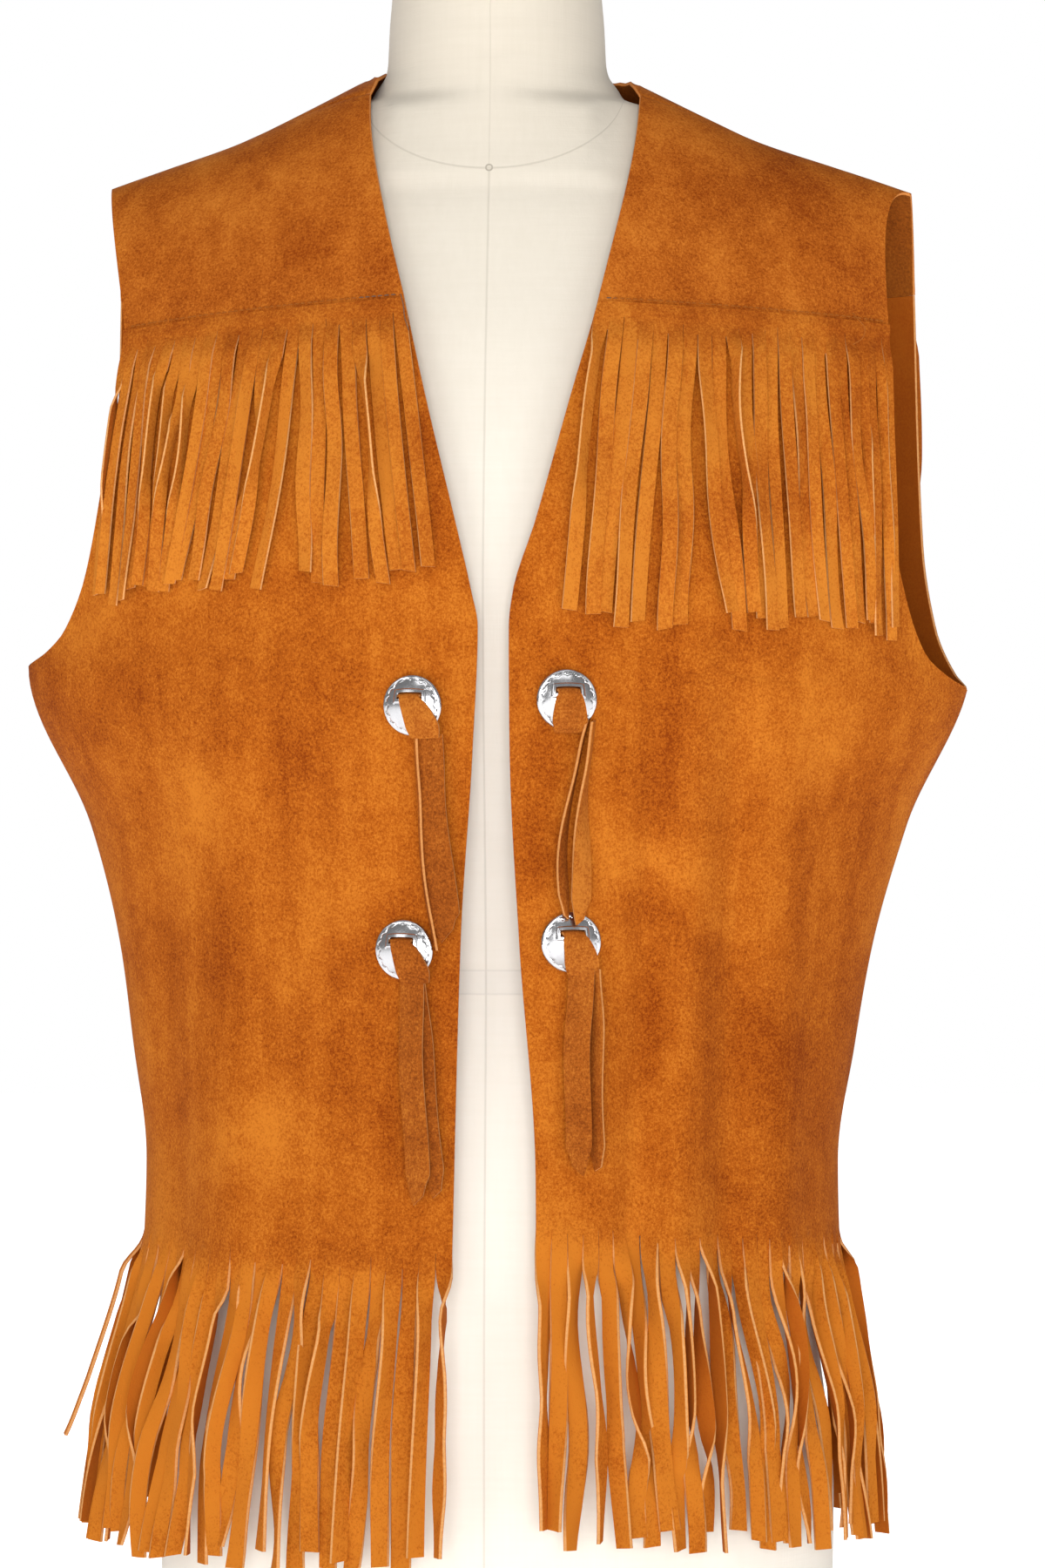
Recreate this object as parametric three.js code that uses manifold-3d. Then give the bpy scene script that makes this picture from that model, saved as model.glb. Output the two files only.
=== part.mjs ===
// A fringed suede vest worn by a linen-covered counter-top dress form.
// Millimetres, +Z up. The vest's front faces -Y, and the wearer's left side is at +X.
// The origin is on the surface that the form stands on, at the middle of its round foot.
import * as THREE from "three";
import Module from "manifold-3d";
import { mergeVertices } from "three/addons/utils/BufferGeometryUtils.js";

const wasm = await Module();
wasm.setup();

// ---------------------------------------------------------------- driving sizes
const SUEDE = 1.6; // thickness of the hide
const SEAM = 0.4; // parting between two sewn pieces
const CAP_BASE = 560; // height where the body starts to curve in towards the shoulders
const CAP_POWER = 2.1; // roundness of the shoulders, seen from the side
const BACK_SEAM = 757; // height of the back yoke's lower seam

// The vest's body at each height: half its width, how far its middle lies to the wearer's left, how
// far it reaches forward and back of the side seams, and how sharply its sides are pinched (1 is
// round, 2 is a sharp corner).
const VEST_SECTIONS = [
  { z: 160, half: 190, middle: -8, front: 131, back: 131, pinch: 1.0 },
  { z: 215, half: 185, middle: -6, front: 130, back: 131, pinch: 1.0 },
  { z: 300, half: 168, middle: -3, front: 123, back: 122, pinch: 1.0 },
  { z: 340, half: 167, middle: -3, front: 120, back: 112, pinch: 1.05 },
  { z: 394, half: 174, middle: -2, front: 119, back: 101, pinch: 1.15 },
  { z: 440, half: 181, middle: -1, front: 120, back: 97, pinch: 1.25 },
  { z: 500, half: 197, middle: 0, front: 125, back: 101, pinch: 1.35 },
  { z: 577, half: 227.5, middle: 0, front: 130, back: 108, pinch: 1.4 },
  { z: 640, half: 224, middle: 0, front: 130, back: 113, pinch: 1.2 },
  { z: 700, half: 217, middle: 0, front: 125, back: 114, pinch: 1.0 },
  { z: 830, half: 214, middle: 0, front: 114, back: 108, pinch: 1.0 },
];

// The top line of the shoulders, from the middle of the neck outwards. `low` is the gentler line
// that the cloth below follows, where the rise to the neck has faded out.
const RIDGE = [
  { x: 0, z: 925, low: 880 },
  { x: 25, z: 914, low: 874 },
  { x: 40, z: 892, low: 868 },
  { x: 50, z: 871, low: 863.5 },
  { x: 57, z: 861.5, low: 860.5 },
  { x: 66, z: 857, low: 857 },
  { x: 80, z: 850, low: 850 },
  { x: 105, z: 838, low: 838 },
  { x: 127, z: 828, low: 828 },
  { x: 159, z: 817, low: 817 },
  { x: 180, z: 810, low: 810 },
  { x: 200, z: 803, low: 803 },
];
const NECK_RISE = { from: 765, to: 850 }; // the heights between which the one line turns into the other

// The front edges, from hem to neck: how far each lies from the middle of the body.
const FRONT_EDGES = [
  { z: 160, left: 25.5, right: 16 },
  { z: 340, left: 24.5, right: 13 },
  { z: 447, left: 17, right: 10 },
  { z: 535, left: 13, right: 4 },
  { z: 592, left: 12.7, right: 1.5 },
  { z: 608, left: 14.5, right: 4.5 },
  { z: 640, left: 24.5, right: 12 },
  { z: 700, left: 40.5, right: 27 },
  { z: 745, left: 52.5, right: 37.5 },
  { z: 800, left: 63, right: 49.5 },
  { z: 850, left: 71, right: 58.5 },
];

// The front armholes: reach from the middle of the body at each height above the side seam's top.
const ARMHOLE = [
  { rise: 0, left: 227.5, right: 227.5 },
  { rise: 6, left: 216, right: 215 },
  { rise: 16, left: 205, right: 204 },
  { rise: 42, left: 195.5, right: 192 },
  { rise: 85, left: 187.5, right: 183 },
  { rise: 150, left: 186, right: 173 },
  { rise: 195, left: 190.5, right: 179 },
  { rise: 235, left: 199, right: 186.5 },
];
const BACK_ARMHOLE = [
  { rise: 0, left: 227.5, right: 227.5 },
  { rise: 8, left: 221, right: 220 },
  { rise: 30, left: 212, right: 208 },
  { rise: 70, left: 206, right: 198 },
  { rise: 192, left: 201.5, right: 190 },
];

// Each side's own measures: the side seam's top, the shoulder's tip and neck point, the lean of the
// shoulder seam at the neck (radians forward of the ridge), the height of the hem's cut and of the
// yoke's seam at the front edge and at the side, the fringes' lengths and fan, and how far the hem's
// last strand strays outwards.
const SIDES = {
  left: { sign: 1, armpit: 565, tip: 199, neck: 70, neckLean: 0.22, hemFront: 316, hemSide: 299,
    seamFront: 743, seamSide: 736, yokeFringe: 131, fanFront: 13, fanSide: 4, hemFringe: 138, salt: 0.6 },
  right: { sign: -1, armpit: 577, tip: 186.5, neck: 59, neckLean: 0.28, hemFront: 296, hemSide: 300,
    seamFront: 745, seamSide: 734, yokeFringe: 113, fanFront: 7, fanSide: 13, hemFringe: 133, salt: 2.1,
    loose: 13 },
};
const YOKE_BULGE = { front: 5.5, side: -6 }; // how far a yoke's free edges bow out sideways
const NECK_SHARE = 0.36; // share of the back yoke's half width that ends on the neckline
const NECK_TURN = 0.88; // share of the neckline where it starts to turn forward to the seam

// The back neckline from the middle out to the shoulder seam: share of the neck's half width, and
// the lean of the cloth there, negative behind the ridge. At the seam it has that seam's own lean.
const NECKLINE = [
  { u: 0, share: 0, lean: -0.58 },
  { u: 0.45, share: 0.47, lean: -0.56 },
  { u: 0.7, share: 0.76, lean: -0.42 },
  { u: 0.88, share: 0.92, lean: -0.14 },
  { u: 1, share: 1, lean: 0 },
];

// Soft upright folds: face (-1 front, 1 back), place across at foot and head, their heights, how far
// the cloth stands out there and the fold's half width.
const FOLDS = [
  { face: -1, xFoot: 66, xHead: 84, foot: 215, head: 640, depth: -5.5, width: 9 },
  { face: -1, xFoot: 84, xHead: 103, foot: 205, head: 660, depth: 4.5, width: 12 },
  { face: -1, xFoot: 112, xHead: 116, foot: 215, head: 655, depth: -4.5, width: 9 },
  { face: -1, xFoot: 133, xHead: 142, foot: 215, head: 620, depth: 3.5, width: 10 },
  { face: -1, xFoot: -118, xHead: -117, foot: 200, head: 600, depth: 3, width: 16 },
  { face: -1, xFoot: -146, xHead: -160, foot: 215, head: 560, depth: -3, width: 12 },
  { face: 1, xFoot: -96, xHead: -70, foot: 205, head: 690, depth: 4.5, width: 17 },
  { face: 1, xFoot: -58, xHead: -36, foot: 215, head: 600, depth: -3.5, width: 15 },
  { face: 1, xFoot: 20, xHead: 8, foot: 200, head: 640, depth: 3.5, width: 18 },
  { face: 1, xFoot: 74, xHead: 52, foot: 215, head: 700, depth: -4, width: 15 },
  { face: 1, xFoot: 116, xHead: 100, foot: 205, head: 640, depth: 4, width: 16 },
];

// Fringe: strands are cut from one strip of hide, so their width follows from their number. A yoke's
// strip lies on the panel below the yoke's seam, and the hem's is parted from the panel's lower edge.
const YOKE_FRINGE = { strip: 15, share: 0.8, steps: 3, out: 1.7, thick: 1.2, stand: 0.9, layer: 1.6 };
const YOKE_STRANDS = { left: 24, right: 24, back: 44 };
const BACK_FRINGE_LENGTH = 122;
const BACK_FAN = 8; // how far the back's outermost strands drift outwards
const HEM_FRINGE = { strip: 7, share: 0.84, steps: 2, out: 0, thick: 1.4, stand: -0.9, layer: 1.9 };
const HEM_STRANDS = { left: 30, right: 31, back: 54 };
const BACK_HEM_FRINGE = 134;

// Domed metal discs, each tied on with a folded thong whose two tails hang free. `hollow` is how far
// the cloth curves away under a disc's sides, which a turned disc sinks into.
const CONCHO = {
  radius: 14, dome: 4.2, thick: 1, clear: 0.35, hollow: 0.35, slotWide: 11.5, slotHigh: 2.6, slotOut: 4.6,
};
const TIES = [
  { name: "upper_left", side: "left", x: 39, z: 558.5, turn: 0.08, aside: 0.5,
    tails: [{ wide: 7, drop: 92, sway: -1 }, { wide: 9, drop: 95, sway: 0 }] },
  { name: "lower_left", side: "left", x: 40.5, z: 447.5, turn: 0.05, aside: 4,
    tails: [{ wide: 9, drop: 106, sway: -1 }, { wide: 9, drop: 103, sway: 5 }] },
  { name: "upper_right", side: "right", x: 31, z: 556, turn: -0.15, aside: 4,
    tails: [{ wide: 8, drop: 112, sway: 8 }, { wide: 12, drop: 98, sway: 12 }] },
  { name: "lower_right", side: "right", x: 35.5, z: 444, turn: -0.12, aside: 4,
    tails: [{ wide: 10, drop: 114, sway: -1 }, { wide: 10, drop: 111, sway: 7 }] },
];
const TIE_HIDE = 1.4; // thickness of a thong
const TIE_LAYER = 2; // one tail hangs this far in front of the other

// A flap's middle line on its disc: place up the disc, height above its back, lean, width, and the
// share of the tie's `aside` by which it has slipped to the wearer's left.
const TIE_FLAP = [
  { y: 4.6, z: 0.6, lean: Math.PI / 2, wide: 10.4, slip: 0 },
  { y: 4.6, z: 5, lean: 1.2, wide: 10.4, slip: 0 },
  { y: 3, z: 6.6, lean: 0.35, wide: 11.5, slip: 0.2 },
  { y: -3, z: 7.1, lean: -0.05, wide: 13, slip: 0.7 },
  { y: -9, z: 6.1, lean: -0.3, wide: 13, slip: 1 },
  { y: -14.5, z: 4.2, lean: -0.4, wide: 11.5, slip: 1 },
];
// A tail below its flap: share of its drop, distance from the cloth and share of its width.
const TIE_TAIL = [
  { share: 0, out: 5.2, wide: 1 },
  { share: 0.35, out: 5, wide: 1 },
  { share: 0.72, out: 5.6, wide: 1 },
  { share: 0.87, out: 6, wide: 1 },
  { share: 1, out: 6.2, wide: 0.12 },
];

// The dress form at each height: half width, reach forward and back, and squareness of its outline.
const FORM_SECTIONS = [
  { z: 92, half: 157, front: 99, back: 110, square: 2.3 },
  { z: 125, half: 161, front: 103, back: 114, square: 2.3 },
  { z: 180, half: 162, front: 106, back: 116, square: 2.3 },
  { z: 240, half: 156, front: 106, back: 114, square: 2.3 },
  { z: 300, half: 145, front: 103, back: 105, square: 2.3 },
  { z: 360, half: 131, front: 97, back: 90, square: 2.3 },
  { z: 428, half: 120, front: 91, back: 79, square: 2.25 },
  { z: 480, half: 125, front: 97, back: 81, square: 2.25 },
  { z: 540, half: 137, front: 109, back: 88, square: 2.25 },
  { z: 600, half: 147, front: 116, back: 96, square: 2.25 },
  { z: 660, half: 155, front: 108, back: 101, square: 2.2 },
  { z: 720, half: 165, front: 94, back: 99, square: 2.1 },
  { z: 765, half: 175, front: 80, back: 90, square: 1.9 },
  { z: 790, half: 179, front: 72, back: 82, square: 1.7 },
  { z: 801, half: 178, front: 68, back: 79, square: 1.6 },
];
const NECK_SECTIONS = [
  { z: 850, half: 71, front: 57, back: 65, square: 1.6 },
  { z: 853.5, half: 61.5, front: 56.5, back: 61.5, square: 1.65 },
  { z: 858, half: 55.5, front: 56, back: 59, square: 1.8 },
  { z: 866, half: 52.5, front: 55.5, back: 54.5, square: 1.95 },
  { z: 882, half: 51.5, front: 56, back: 51, square: 2 },
  { z: 905, half: 49.5, front: 58, back: 46, square: 2 },
  { z: 938, half: 48.5, front: 59, back: 43, square: 2 },
];
const SHOULDER_GAP = 1.2; // between the form's shoulders and the hide that lies on them
const FORM_SHARE = 0.9; // the most that the form may reach forward or back, as a share of the hide's reach
const FORM_WIDEST = 178;
const NECK_ABOVE = 862; // no hide lies over the form above this height
const FORM_SIDES = 30;
const NECK_CAP = { gap: 0.3, thick: 8, inset: 3, lean: -8 };
const STAND = { footRadius: 138, footHigh: 16, postRadius: 15, flangeRadius: 46, flangeHigh: 7, gap: 0.3 };

// ---------------------------------------------------------------- curves
const lerp = (a, b, t) => a + (b - a) * t;
const clamp = (v, low, high) => Math.min(high, Math.max(low, v));
const share = (count) => Array.from({ length: count + 1 }, (_, i) => i / count);

// A smooth curve through one column of a table. It never overshoots the rows.
function curve(table, key, name) {
  const at = table.map((row) => row[key]);
  const value = table.map((row) => row[name]);
  const slope = at.slice(1).map((x, i) => (value[i + 1] - value[i]) / (x - at[i]));
  const tangent = value.map((_, i) => {
    const before = slope[Math.max(i - 1, 0)];
    const after = slope[Math.min(i, slope.length - 1)];
    return before * after > 0 ? (2 * before * after) / (before + after) : 0;
  });
  return (x) => {
    const i = clamp(at.findIndex((a) => a > x) - 1, 0, at.length - 2);
    const cell = x >= at[at.length - 1] ? at.length - 2 : i;
    const step = at[cell + 1] - at[cell];
    const t = clamp((x - at[cell]) / step, 0, 1);
    const rise = value[cell + 1] - value[cell];
    const [m0, m1] = [tangent[cell] * step, tangent[cell + 1] * step];
    return value[cell] + t * (m0 + t * (3 * rise - 2 * m0 - m1 + t * (m0 + m1 - 2 * rise)));
  };
}

const vestHalf = curve(VEST_SECTIONS, "z", "half");
const vestPinch = curve(VEST_SECTIONS, "z", "pinch");
const vestMiddle = curve(VEST_SECTIONS, "z", "middle");
const vestReach = { "-1": curve(VEST_SECTIONS, "z", "front"), 1: curve(VEST_SECTIONS, "z", "back") };
const ridgeHeight = curve(RIDGE, "x", "z");
const ridgeLow = curve(RIDGE, "x", "low");
const ridge = (x) => ridgeHeight(Math.abs(x));
const ridgeFor = (x, z) => {
  const t = clamp((z - NECK_RISE.from) / (NECK_RISE.to - NECK_RISE.from), 0, 1);
  return lerp(ridgeLow(Math.abs(x)), ridge(x), t * t * (3 - 2 * t));
};
const frontEdge = { left: curve(FRONT_EDGES, "z", "left"), right: curve(FRONT_EDGES, "z", "right") };
const armhole = { left: curve(ARMHOLE, "rise", "left"), right: curve(ARMHOLE, "rise", "right") };
const backArmhole = { left: curve(BACK_ARMHOLE, "rise", "left"), right: curve(BACK_ARMHOLE, "rise", "right") };
const neckShare = curve(NECKLINE, "u", "share");
const neckLineLean = curve(NECKLINE, "u", "lean");

// ---------------------------------------------------------------- the vest's surface
// How far the cloth stands out (or in) at a place on one face, from the folds there.
function foldAt(face, x, z) {
  return FOLDS.filter((fold) => fold.face === face && z > fold.foot && z < fold.head).reduce((sum, fold) => {
    const up = (z - fold.foot) / (fold.head - fold.foot);
    const across = (x - lerp(fold.xFoot, fold.xHead, up)) / fold.width;
    return sum + fold.depth * Math.sin(Math.PI * Math.sqrt(up)) * Math.exp(-across * across);
  }, 0);
}

// A point of the vest's outer surface. inward is 1 on the body, and falls to 0 on the shoulders' ridge.
function clothPoint(face, x, z, inward) {
  const half = vestHalf(z);
  const reach = vestReach[face](z);
  const aside = x - vestMiddle(z);
  const level = clamp(aside / half, -1, 1);
  const depth = reach * Math.sqrt(1 - level * level) ** vestPinch(z) * inward;
  const out = new THREE.Vector2(aside / (half * half), (face * depth) / (reach * reach)).normalize();
  const fold = foldAt(face, x, z);
  return new THREE.Vector3(x + out.x * fold, face * depth + out.y * fold, z);
}

// The same point found by its height.
function bodyPoint(face, x, z) {
  const level = clamp((z - CAP_BASE) / (ridgeFor(x, z) - CAP_BASE), 0, 1);
  return clothPoint(face, x, z, (1 - level ** CAP_POWER) ** (1 / CAP_POWER));
}

// A point of the shoulders found by its lean: 0 on the ridge, positive in front and negative behind.
function shoulderPoint(x, lean) {
  const height = (z) => CAP_BASE + (ridgeFor(x, z) - CAP_BASE) * Math.cos(lean) ** (2 / CAP_POWER);
  const z = Array.from({ length: 30 }).reduce(height, ridge(x));
  return clothPoint(lean > 0 ? -1 : 1, x, z, Math.abs(Math.sin(lean)) ** (2 / CAP_POWER));
}
const leanAt = (x, z) => Math.acos(((z - CAP_BASE) / (ridgeFor(x, z) - CAP_BASE)) ** (CAP_POWER / 2));

// The shoulders' point with the way out of the cloth there.
function shoulderFrame(x, lean) {
  const [wide, turn] = [0.5, 0.004];
  const across = shoulderPoint(x + wide, lean).sub(shoulderPoint(x - wide, lean));
  const forward = shoulderPoint(x, lean + turn).sub(shoulderPoint(x, lean - turn));
  return { point: shoulderPoint(x, lean), out: new THREE.Vector3().crossVectors(forward, across).normalize() };
}

// Places across a row are shared out by angle, so that they stay evenly spaced round the sides.
const angleAt = (x, z) => Math.asin(clamp((x - vestMiddle(z)) / vestHalf(z), -1, 1));
const placeAt = (angle, z) => vestMiddle(z) + vestHalf(z) * Math.sin(angle);
const outerAngle = (table, side, z) => {
  const { sign, armpit } = SIDES[side];
  return z <= armpit ? (sign * Math.PI) / 2 : angleAt(sign * table[side](z - armpit), z);
};

// A front's place: across runs from the front edge to the side seam or armhole.
function frontPlace(side, across, z) {
  const inner = angleAt(SIDES[side].sign * frontEdge[side](z), z);
  return placeAt(lerp(inner, outerAngle(armhole, side, z), across), z);
}
const frontPoint = (side, across, z) => bodyPoint(-1, frontPlace(side, across, z), z);

// The back's place: across runs from -1 at the wearer's right to 1 at the left.
const backPlace = (across, z) =>
  placeAt(Math.abs(across) * outerAngle(backArmhole, across < 0 ? "right" : "left", z), z);
const backPoint = (across, z) => bodyPoint(1, backPlace(across, z), z);

const hemHeight = (side, across) => lerp(SIDES[side].hemFront, SIDES[side].hemSide, across);
const seamHeight = (side, across) => lerp(SIDES[side].seamFront, SIDES[side].seamSide, across);
const backHem = (across) => lerp(301, across < 0 ? SIDES.right.hemSide : SIDES.left.hemSide, across ** 2);
const seamLean = (side, along) => SIDES[side].neckLean * (1 - along) ** 2;
const SEAM_LEAN_GAP = SEAM / 2 / 80; // the same parting as a lean of the cap

// A front yoke's frame: up runs from the yoke's seam to the shoulder seam.
function yokeFrame(side, across, up) {
  const { sign, neck, tip } = SIDES[side];
  const seam = seamHeight(side, across) + SEAM / 2;
  const lower = frontPlace(side, across, seam);
  const upper = sign * lerp(neck, tip, across);
  const bulge = sign * lerp(YOKE_BULGE.front, YOKE_BULGE.side, across) * Math.sin(Math.PI * up);
  const top = seamLean(side, across) + SEAM_LEAN_GAP;
  return shoulderFrame(lerp(lower, upper, up) + bulge, lerp(leanAt(lower, seam), top, up));
}

// The back yoke's frame: up runs from its lower seam to the neckline or the shoulder seams.
function backYokeFrame(across, up) {
  const side = across < 0 ? "right" : "left";
  const { sign, neck, neckLean, tip } = SIDES[side];
  const far = Math.abs(across);
  const along = Math.max((far - NECK_SHARE) / (1 - NECK_SHARE), 0);
  const u = Math.min(far / NECK_SHARE, 1);
  const upper = sign * (u < 1 ? neck * neckShare(u) : lerp(neck, tip, along));
  const onNeck = neckLineLean(u) + neckLean * Math.max((u - NECK_TURN) / (1 - NECK_TURN), 0);
  const top = (u < 1 ? onNeck : seamLean(side, along)) - SEAM_LEAN_GAP;
  const seam = BACK_SEAM + SEAM / 2;
  const lower = backPlace(across, seam);
  return shoulderFrame(lerp(lower, upper, up), lerp(-leanAt(lower, seam), top, up));
}

// ---------------------------------------------------------------- solids
// A closed geometry from points and triangles, turned to face outwards.
function closed(points, triangles) {
  const volume = triangles.reduce((sum, [a, b, c]) =>
    sum + points[a].dot(new THREE.Vector3().crossVectors(points[b], points[c])), 0);
  const faces = volume < 0 ? triangles.map(([a, b, c]) => [a, c, b]) : triangles;
  const geometry = new THREE.BufferGeometry().setFromPoints(points);
  geometry.setIndex(faces.flat());
  return geometry;
}

// A closed wall from a sheet of four-sided faces, its outer points and its inner points. The edges
// that belong to one face only are the sheet's border, and each gets a narrow side face.
function thicken(outer, inner, quads) {
  const edges = new Map();
  const sidesOf = (quad) => quad.map((from, k) => [from, quad[(k + 1) % 4]]);
  quads.flatMap(sidesOf).forEach(([from, to]) => edges.set(`${from} ${to}`, [from, to]));
  const border = [...edges.values()].filter(([from, to]) => !edges.has(`${to} ${from}`));
  const base = outer.length;
  const faces = [
    ...quads,
    ...quads.map(([a, b, c, d]) => [base + a, base + d, base + c, base + b]),
    ...border.map(([from, to]) => [to, from, base + from, base + to]),
  ];
  return closed([...outer, ...inner], faces.flatMap(([a, b, c, d]) => [[a, b, c], [a, c, d]]));
}

// The frame of a surface at a place: its point, the way across and the way out. turn is 1 where
// across turned towards up points out of the cloth, and -1 where it points in.
function frameAt(surface, turn, across, up, [first, last], [tall, head] = [0.2, Infinity]) {
  const small = 1e-3;
  const ahead = surface(Math.min(across + small, last), up);
  const side = ahead.sub(surface(Math.max(across - small, first), up));
  const above = surface(across, Math.min(up + tall, head)).sub(surface(across, up - tall));
  const out = new THREE.Vector3().crossVectors(side, above).normalize().multiplyScalar(turn);
  const run = side.length() / (Math.min(across + small, last) - Math.max(across - small, first));
  return { point: surface(across, up), side: side.normalize(), out, run };
}

// A wall of cloth over a grid of places. frameOf(across, up) gives the outer face's point and the
// way out of the cloth. keep holds each point on its own side of a seam.
function wall(frameOf, acrossList, upList, keep = (p) => p) {
  const frames = upList.flatMap((up) => acrossList.map((across) => frameOf(across, up)));
  const layer = (away) => frames.map((frame) => keep(frame.point.clone().addScaledVector(frame.out, away)));
  const columns = acrossList.length;
  const cells = upList.slice(1).flatMap((_, j) => acrossList.slice(1).map((__, i) => j * columns + i));
  return thicken(layer(0), layer(-SUEDE), cells.map((a) => [a, a + 1, a + 1 + columns, a + columns]));
}

// A closed tube of sections with the same number of corners, flat at both ends.
function loft(sections) {
  const corners = sections[0].length;
  const points = sections.flat();
  const triangles = [];
  for (let j = 0; j + 1 < sections.length; j++) {
    for (let i = 0; i < corners; i++) {
      const [a, b] = [j * corners + i, j * corners + ((i + 1) % corners)];
      triangles.push([a, b, b + corners], [a, b + corners, a + corners]);
    }
  }
  const top = (sections.length - 1) * corners;
  for (let i = 1; i + 1 < corners; i++) triangles.push([0, i + 1, i], [top, top + i, top + i + 1]);
  return closed(points, triangles);
}

// Conversions to and from the solids that can be joined and cut.
function toSolid(geometry) {
  const bare = geometry.index ? geometry.toNonIndexed() : geometry.clone();
  const places = new THREE.BufferGeometry().setAttribute("position", bare.getAttribute("position"));
  const merged = mergeVertices(places, 1e-4);
  return new wasm.Manifold(new wasm.Mesh({
    numProp: 3,
    vertProperties: merged.getAttribute("position").array,
    triVerts: new Uint32Array(merged.index.array),
  }));
}
function fromSolid(solid) {
  const mesh = solid.getMesh();
  const geometry = new THREE.BufferGeometry();
  geometry.setAttribute("position", new THREE.BufferAttribute(new Float32Array(mesh.vertProperties), 3));
  return geometry.setIndex(new THREE.BufferAttribute(new Uint32Array(mesh.triVerts), 1));
}
const join = (geometries) =>
  fromSolid(geometries.slice(1).reduce((sum, next) => sum.add(toSolid(next)), toSolid(geometries[0])));

// ---------------------------------------------------------------- fringe
// A repeatable uneven number from -1 to 1 for the strand of that number.
const uneven = (index, salt) => {
  const wave = Math.sin(index * 12.9898 + salt * 78.233) * 43758.5453;
  return 2 * (wave - Math.floor(wave)) - 1;
};

// How far a strand's tip drifts sideways: neighbours gather into locks, with gaps between them.
const drift = (index, salt) => 2.3 * Math.sin(index * 0.78 + salt) + 0.8 * uneven(index, salt);

// A strip of hide cut into strands below its lower edge. surface(across, z) is the cloth that the
// strip lies on or hangs from, from `first` to `last`. edge(across) is the strip's top, and the strip
// is `strip` high. out, thick and keep are as in wall. The strands stand in two layers, so that they
// pass each other, at `stand` and `stand + layer` beyond the strip's own face. The last one strays
// outwards by `loose` at its tip.
function fringe(surface, turn, [first, last], edge, measures, length, salt) {
  const { strands, share: cut, strip, steps, out, thick, stand, layer, loose, keep = (p) => p } = measures;
  const pitch = (last - first) / (strands - 1 + cut);
  const at = Array.from({ length: strands }, (_, i) => first + pitch * (i + cut / 2));
  const sides = at.flatMap((middle) => [middle - (pitch * cut) / 2, middle + (pitch * cut) / 2]);
  const [outer, inner] = [[], []];
  const put = (frame, away) => {
    outer.push(keep(frame.point.clone().addScaledVector(frame.out, away)));
    inner.push(keep(frame.point.clone().addScaledVector(frame.out, away - thick)));
    return outer.length - 1;
  };
  const bounds = [first, last];
  const top = sides.map((across) => put(frameAt(surface, turn, across, edge(across), bounds), out));
  const foot = sides.map((across) => put(frameAt(surface, turn, across, edge(across) - strip, bounds), out));
  const quads = sides.slice(1).map((_, c) => [foot[c], foot[c + 1], top[c + 1], top[c]]);
  at.forEach((middle, i) => {
    const root = edge(middle) - strip;
    const wide = outer[foot[2 * i]].distanceTo(outer[foot[2 * i + 1]]);
    let [left, right] = [foot[2 * i], foot[2 * i + 1]];
    for (let k = 1; k <= steps; k++) {
      const z = root - (k / steps) * length(i);
      const free = frameAt(surface, turn, middle, z, bounds);
      const swayed = middle + ((k / steps) ** 1.6 * drift(i, salt)) / free.run;
      const across = clamp(swayed, first + (pitch * cut) / 2, last - (pitch * cut) / 2);
      const frame = frameAt(surface, turn, across, z, bounds);
      const stray = loose && i === strands - 1 ? (loose * k) / steps : 0;
      const away = out + stand + (i % 2) * layer + stray;
      const [nextLeft, nextRight] = [-1, 1].map((way) => {
        const point = frame.point.clone().addScaledVector(frame.side, (way * wide) / 2);
        return put({ out: frame.out, point }, away);
      });
      quads.push([nextLeft, nextRight, right, left]);
      [left, right] = [nextLeft, nextRight];
    }
  });
  return thicken(outer, inner, quads);
}

// ---------------------------------------------------------------- pieces of the vest
// A yoke's fringe follows the panel down to its strip's foot, and from there it hangs straight, only
// fanned out a little from the root of each strand.
function hangingSurface(face, place, foot, fan, length) {
  return (across, z) => {
    const below = foot(across) - z;
    const x = below > 0 ? place(across, foot(across)) + (fan(across) * below) / length : place(across, z);
    return bodyPoint(face, x, z);
  };
}

const FRONT_COLUMNS = share(15);
const YOKE_COLUMNS = [0, 0.07, 0.2, 0.4, 0.6, 0.8, 1];
const BACK_COLUMNS = share(26).map((s) => 2 * s - 1);
const YOKE_ROWS = [0, 0.25, 0.5, 0.7, 0.86, 1];
const BACK_YOKE_ROWS = [0, 0.22, 0.4, 0.55, 0.68, 0.79, 0.9, 1];
const backYokeHalf = [
  ...[0, 0.28, 0.52, 0.66, 0.74, 0.8, 0.86, 0.93, 1].map((s) => s * NECK_SHARE),
  ...YOKE_COLUMNS.slice(1).map((s) => lerp(NECK_SHARE, 1, s)),
];
const BACK_YOKE_COLUMNS = [...backYokeHalf.slice(1).map((s) => -s).reverse(), ...backYokeHalf];

const PANEL_UP = [1e-3, 1]; // a panel's small step up, as a share of its height, and its top

// Rows of a lower panel: even up to the side seam's top, close together in the armhole's corner.
function panelRows(foot, corner, head, fringeFoot) {
  const armpit = (corner - foot) / (head - foot);
  const aboveCorner = [5, 14, 34, 72, 118].map((rise) => (corner + rise - foot) / (head - foot));
  return [...share(6).map((s) => s * armpit), ...aboveCorner, (fringeFoot - foot) / (head - foot), 1];
}
const onFace = (face) => (p) => p.setY(face * Math.max(face * p.y, SEAM / 2));

function frontPanel(side) {
  const { sign, hemSide, armpit, seamSide } = SIDES[side];
  const surface = (across, up) =>
    frontPoint(side, across, lerp(hemHeight(side, across), seamHeight(side, across) - SEAM / 2, up));
  const rows = panelRows(hemSide, armpit, seamSide, seamSide - YOKE_FRINGE.strip);
  const frame = (across, up) => frameAt(surface, sign, across, up, [0, 1], PANEL_UP);
  return wall(frame, FRONT_COLUMNS, rows, onFace(-1));
}

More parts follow.
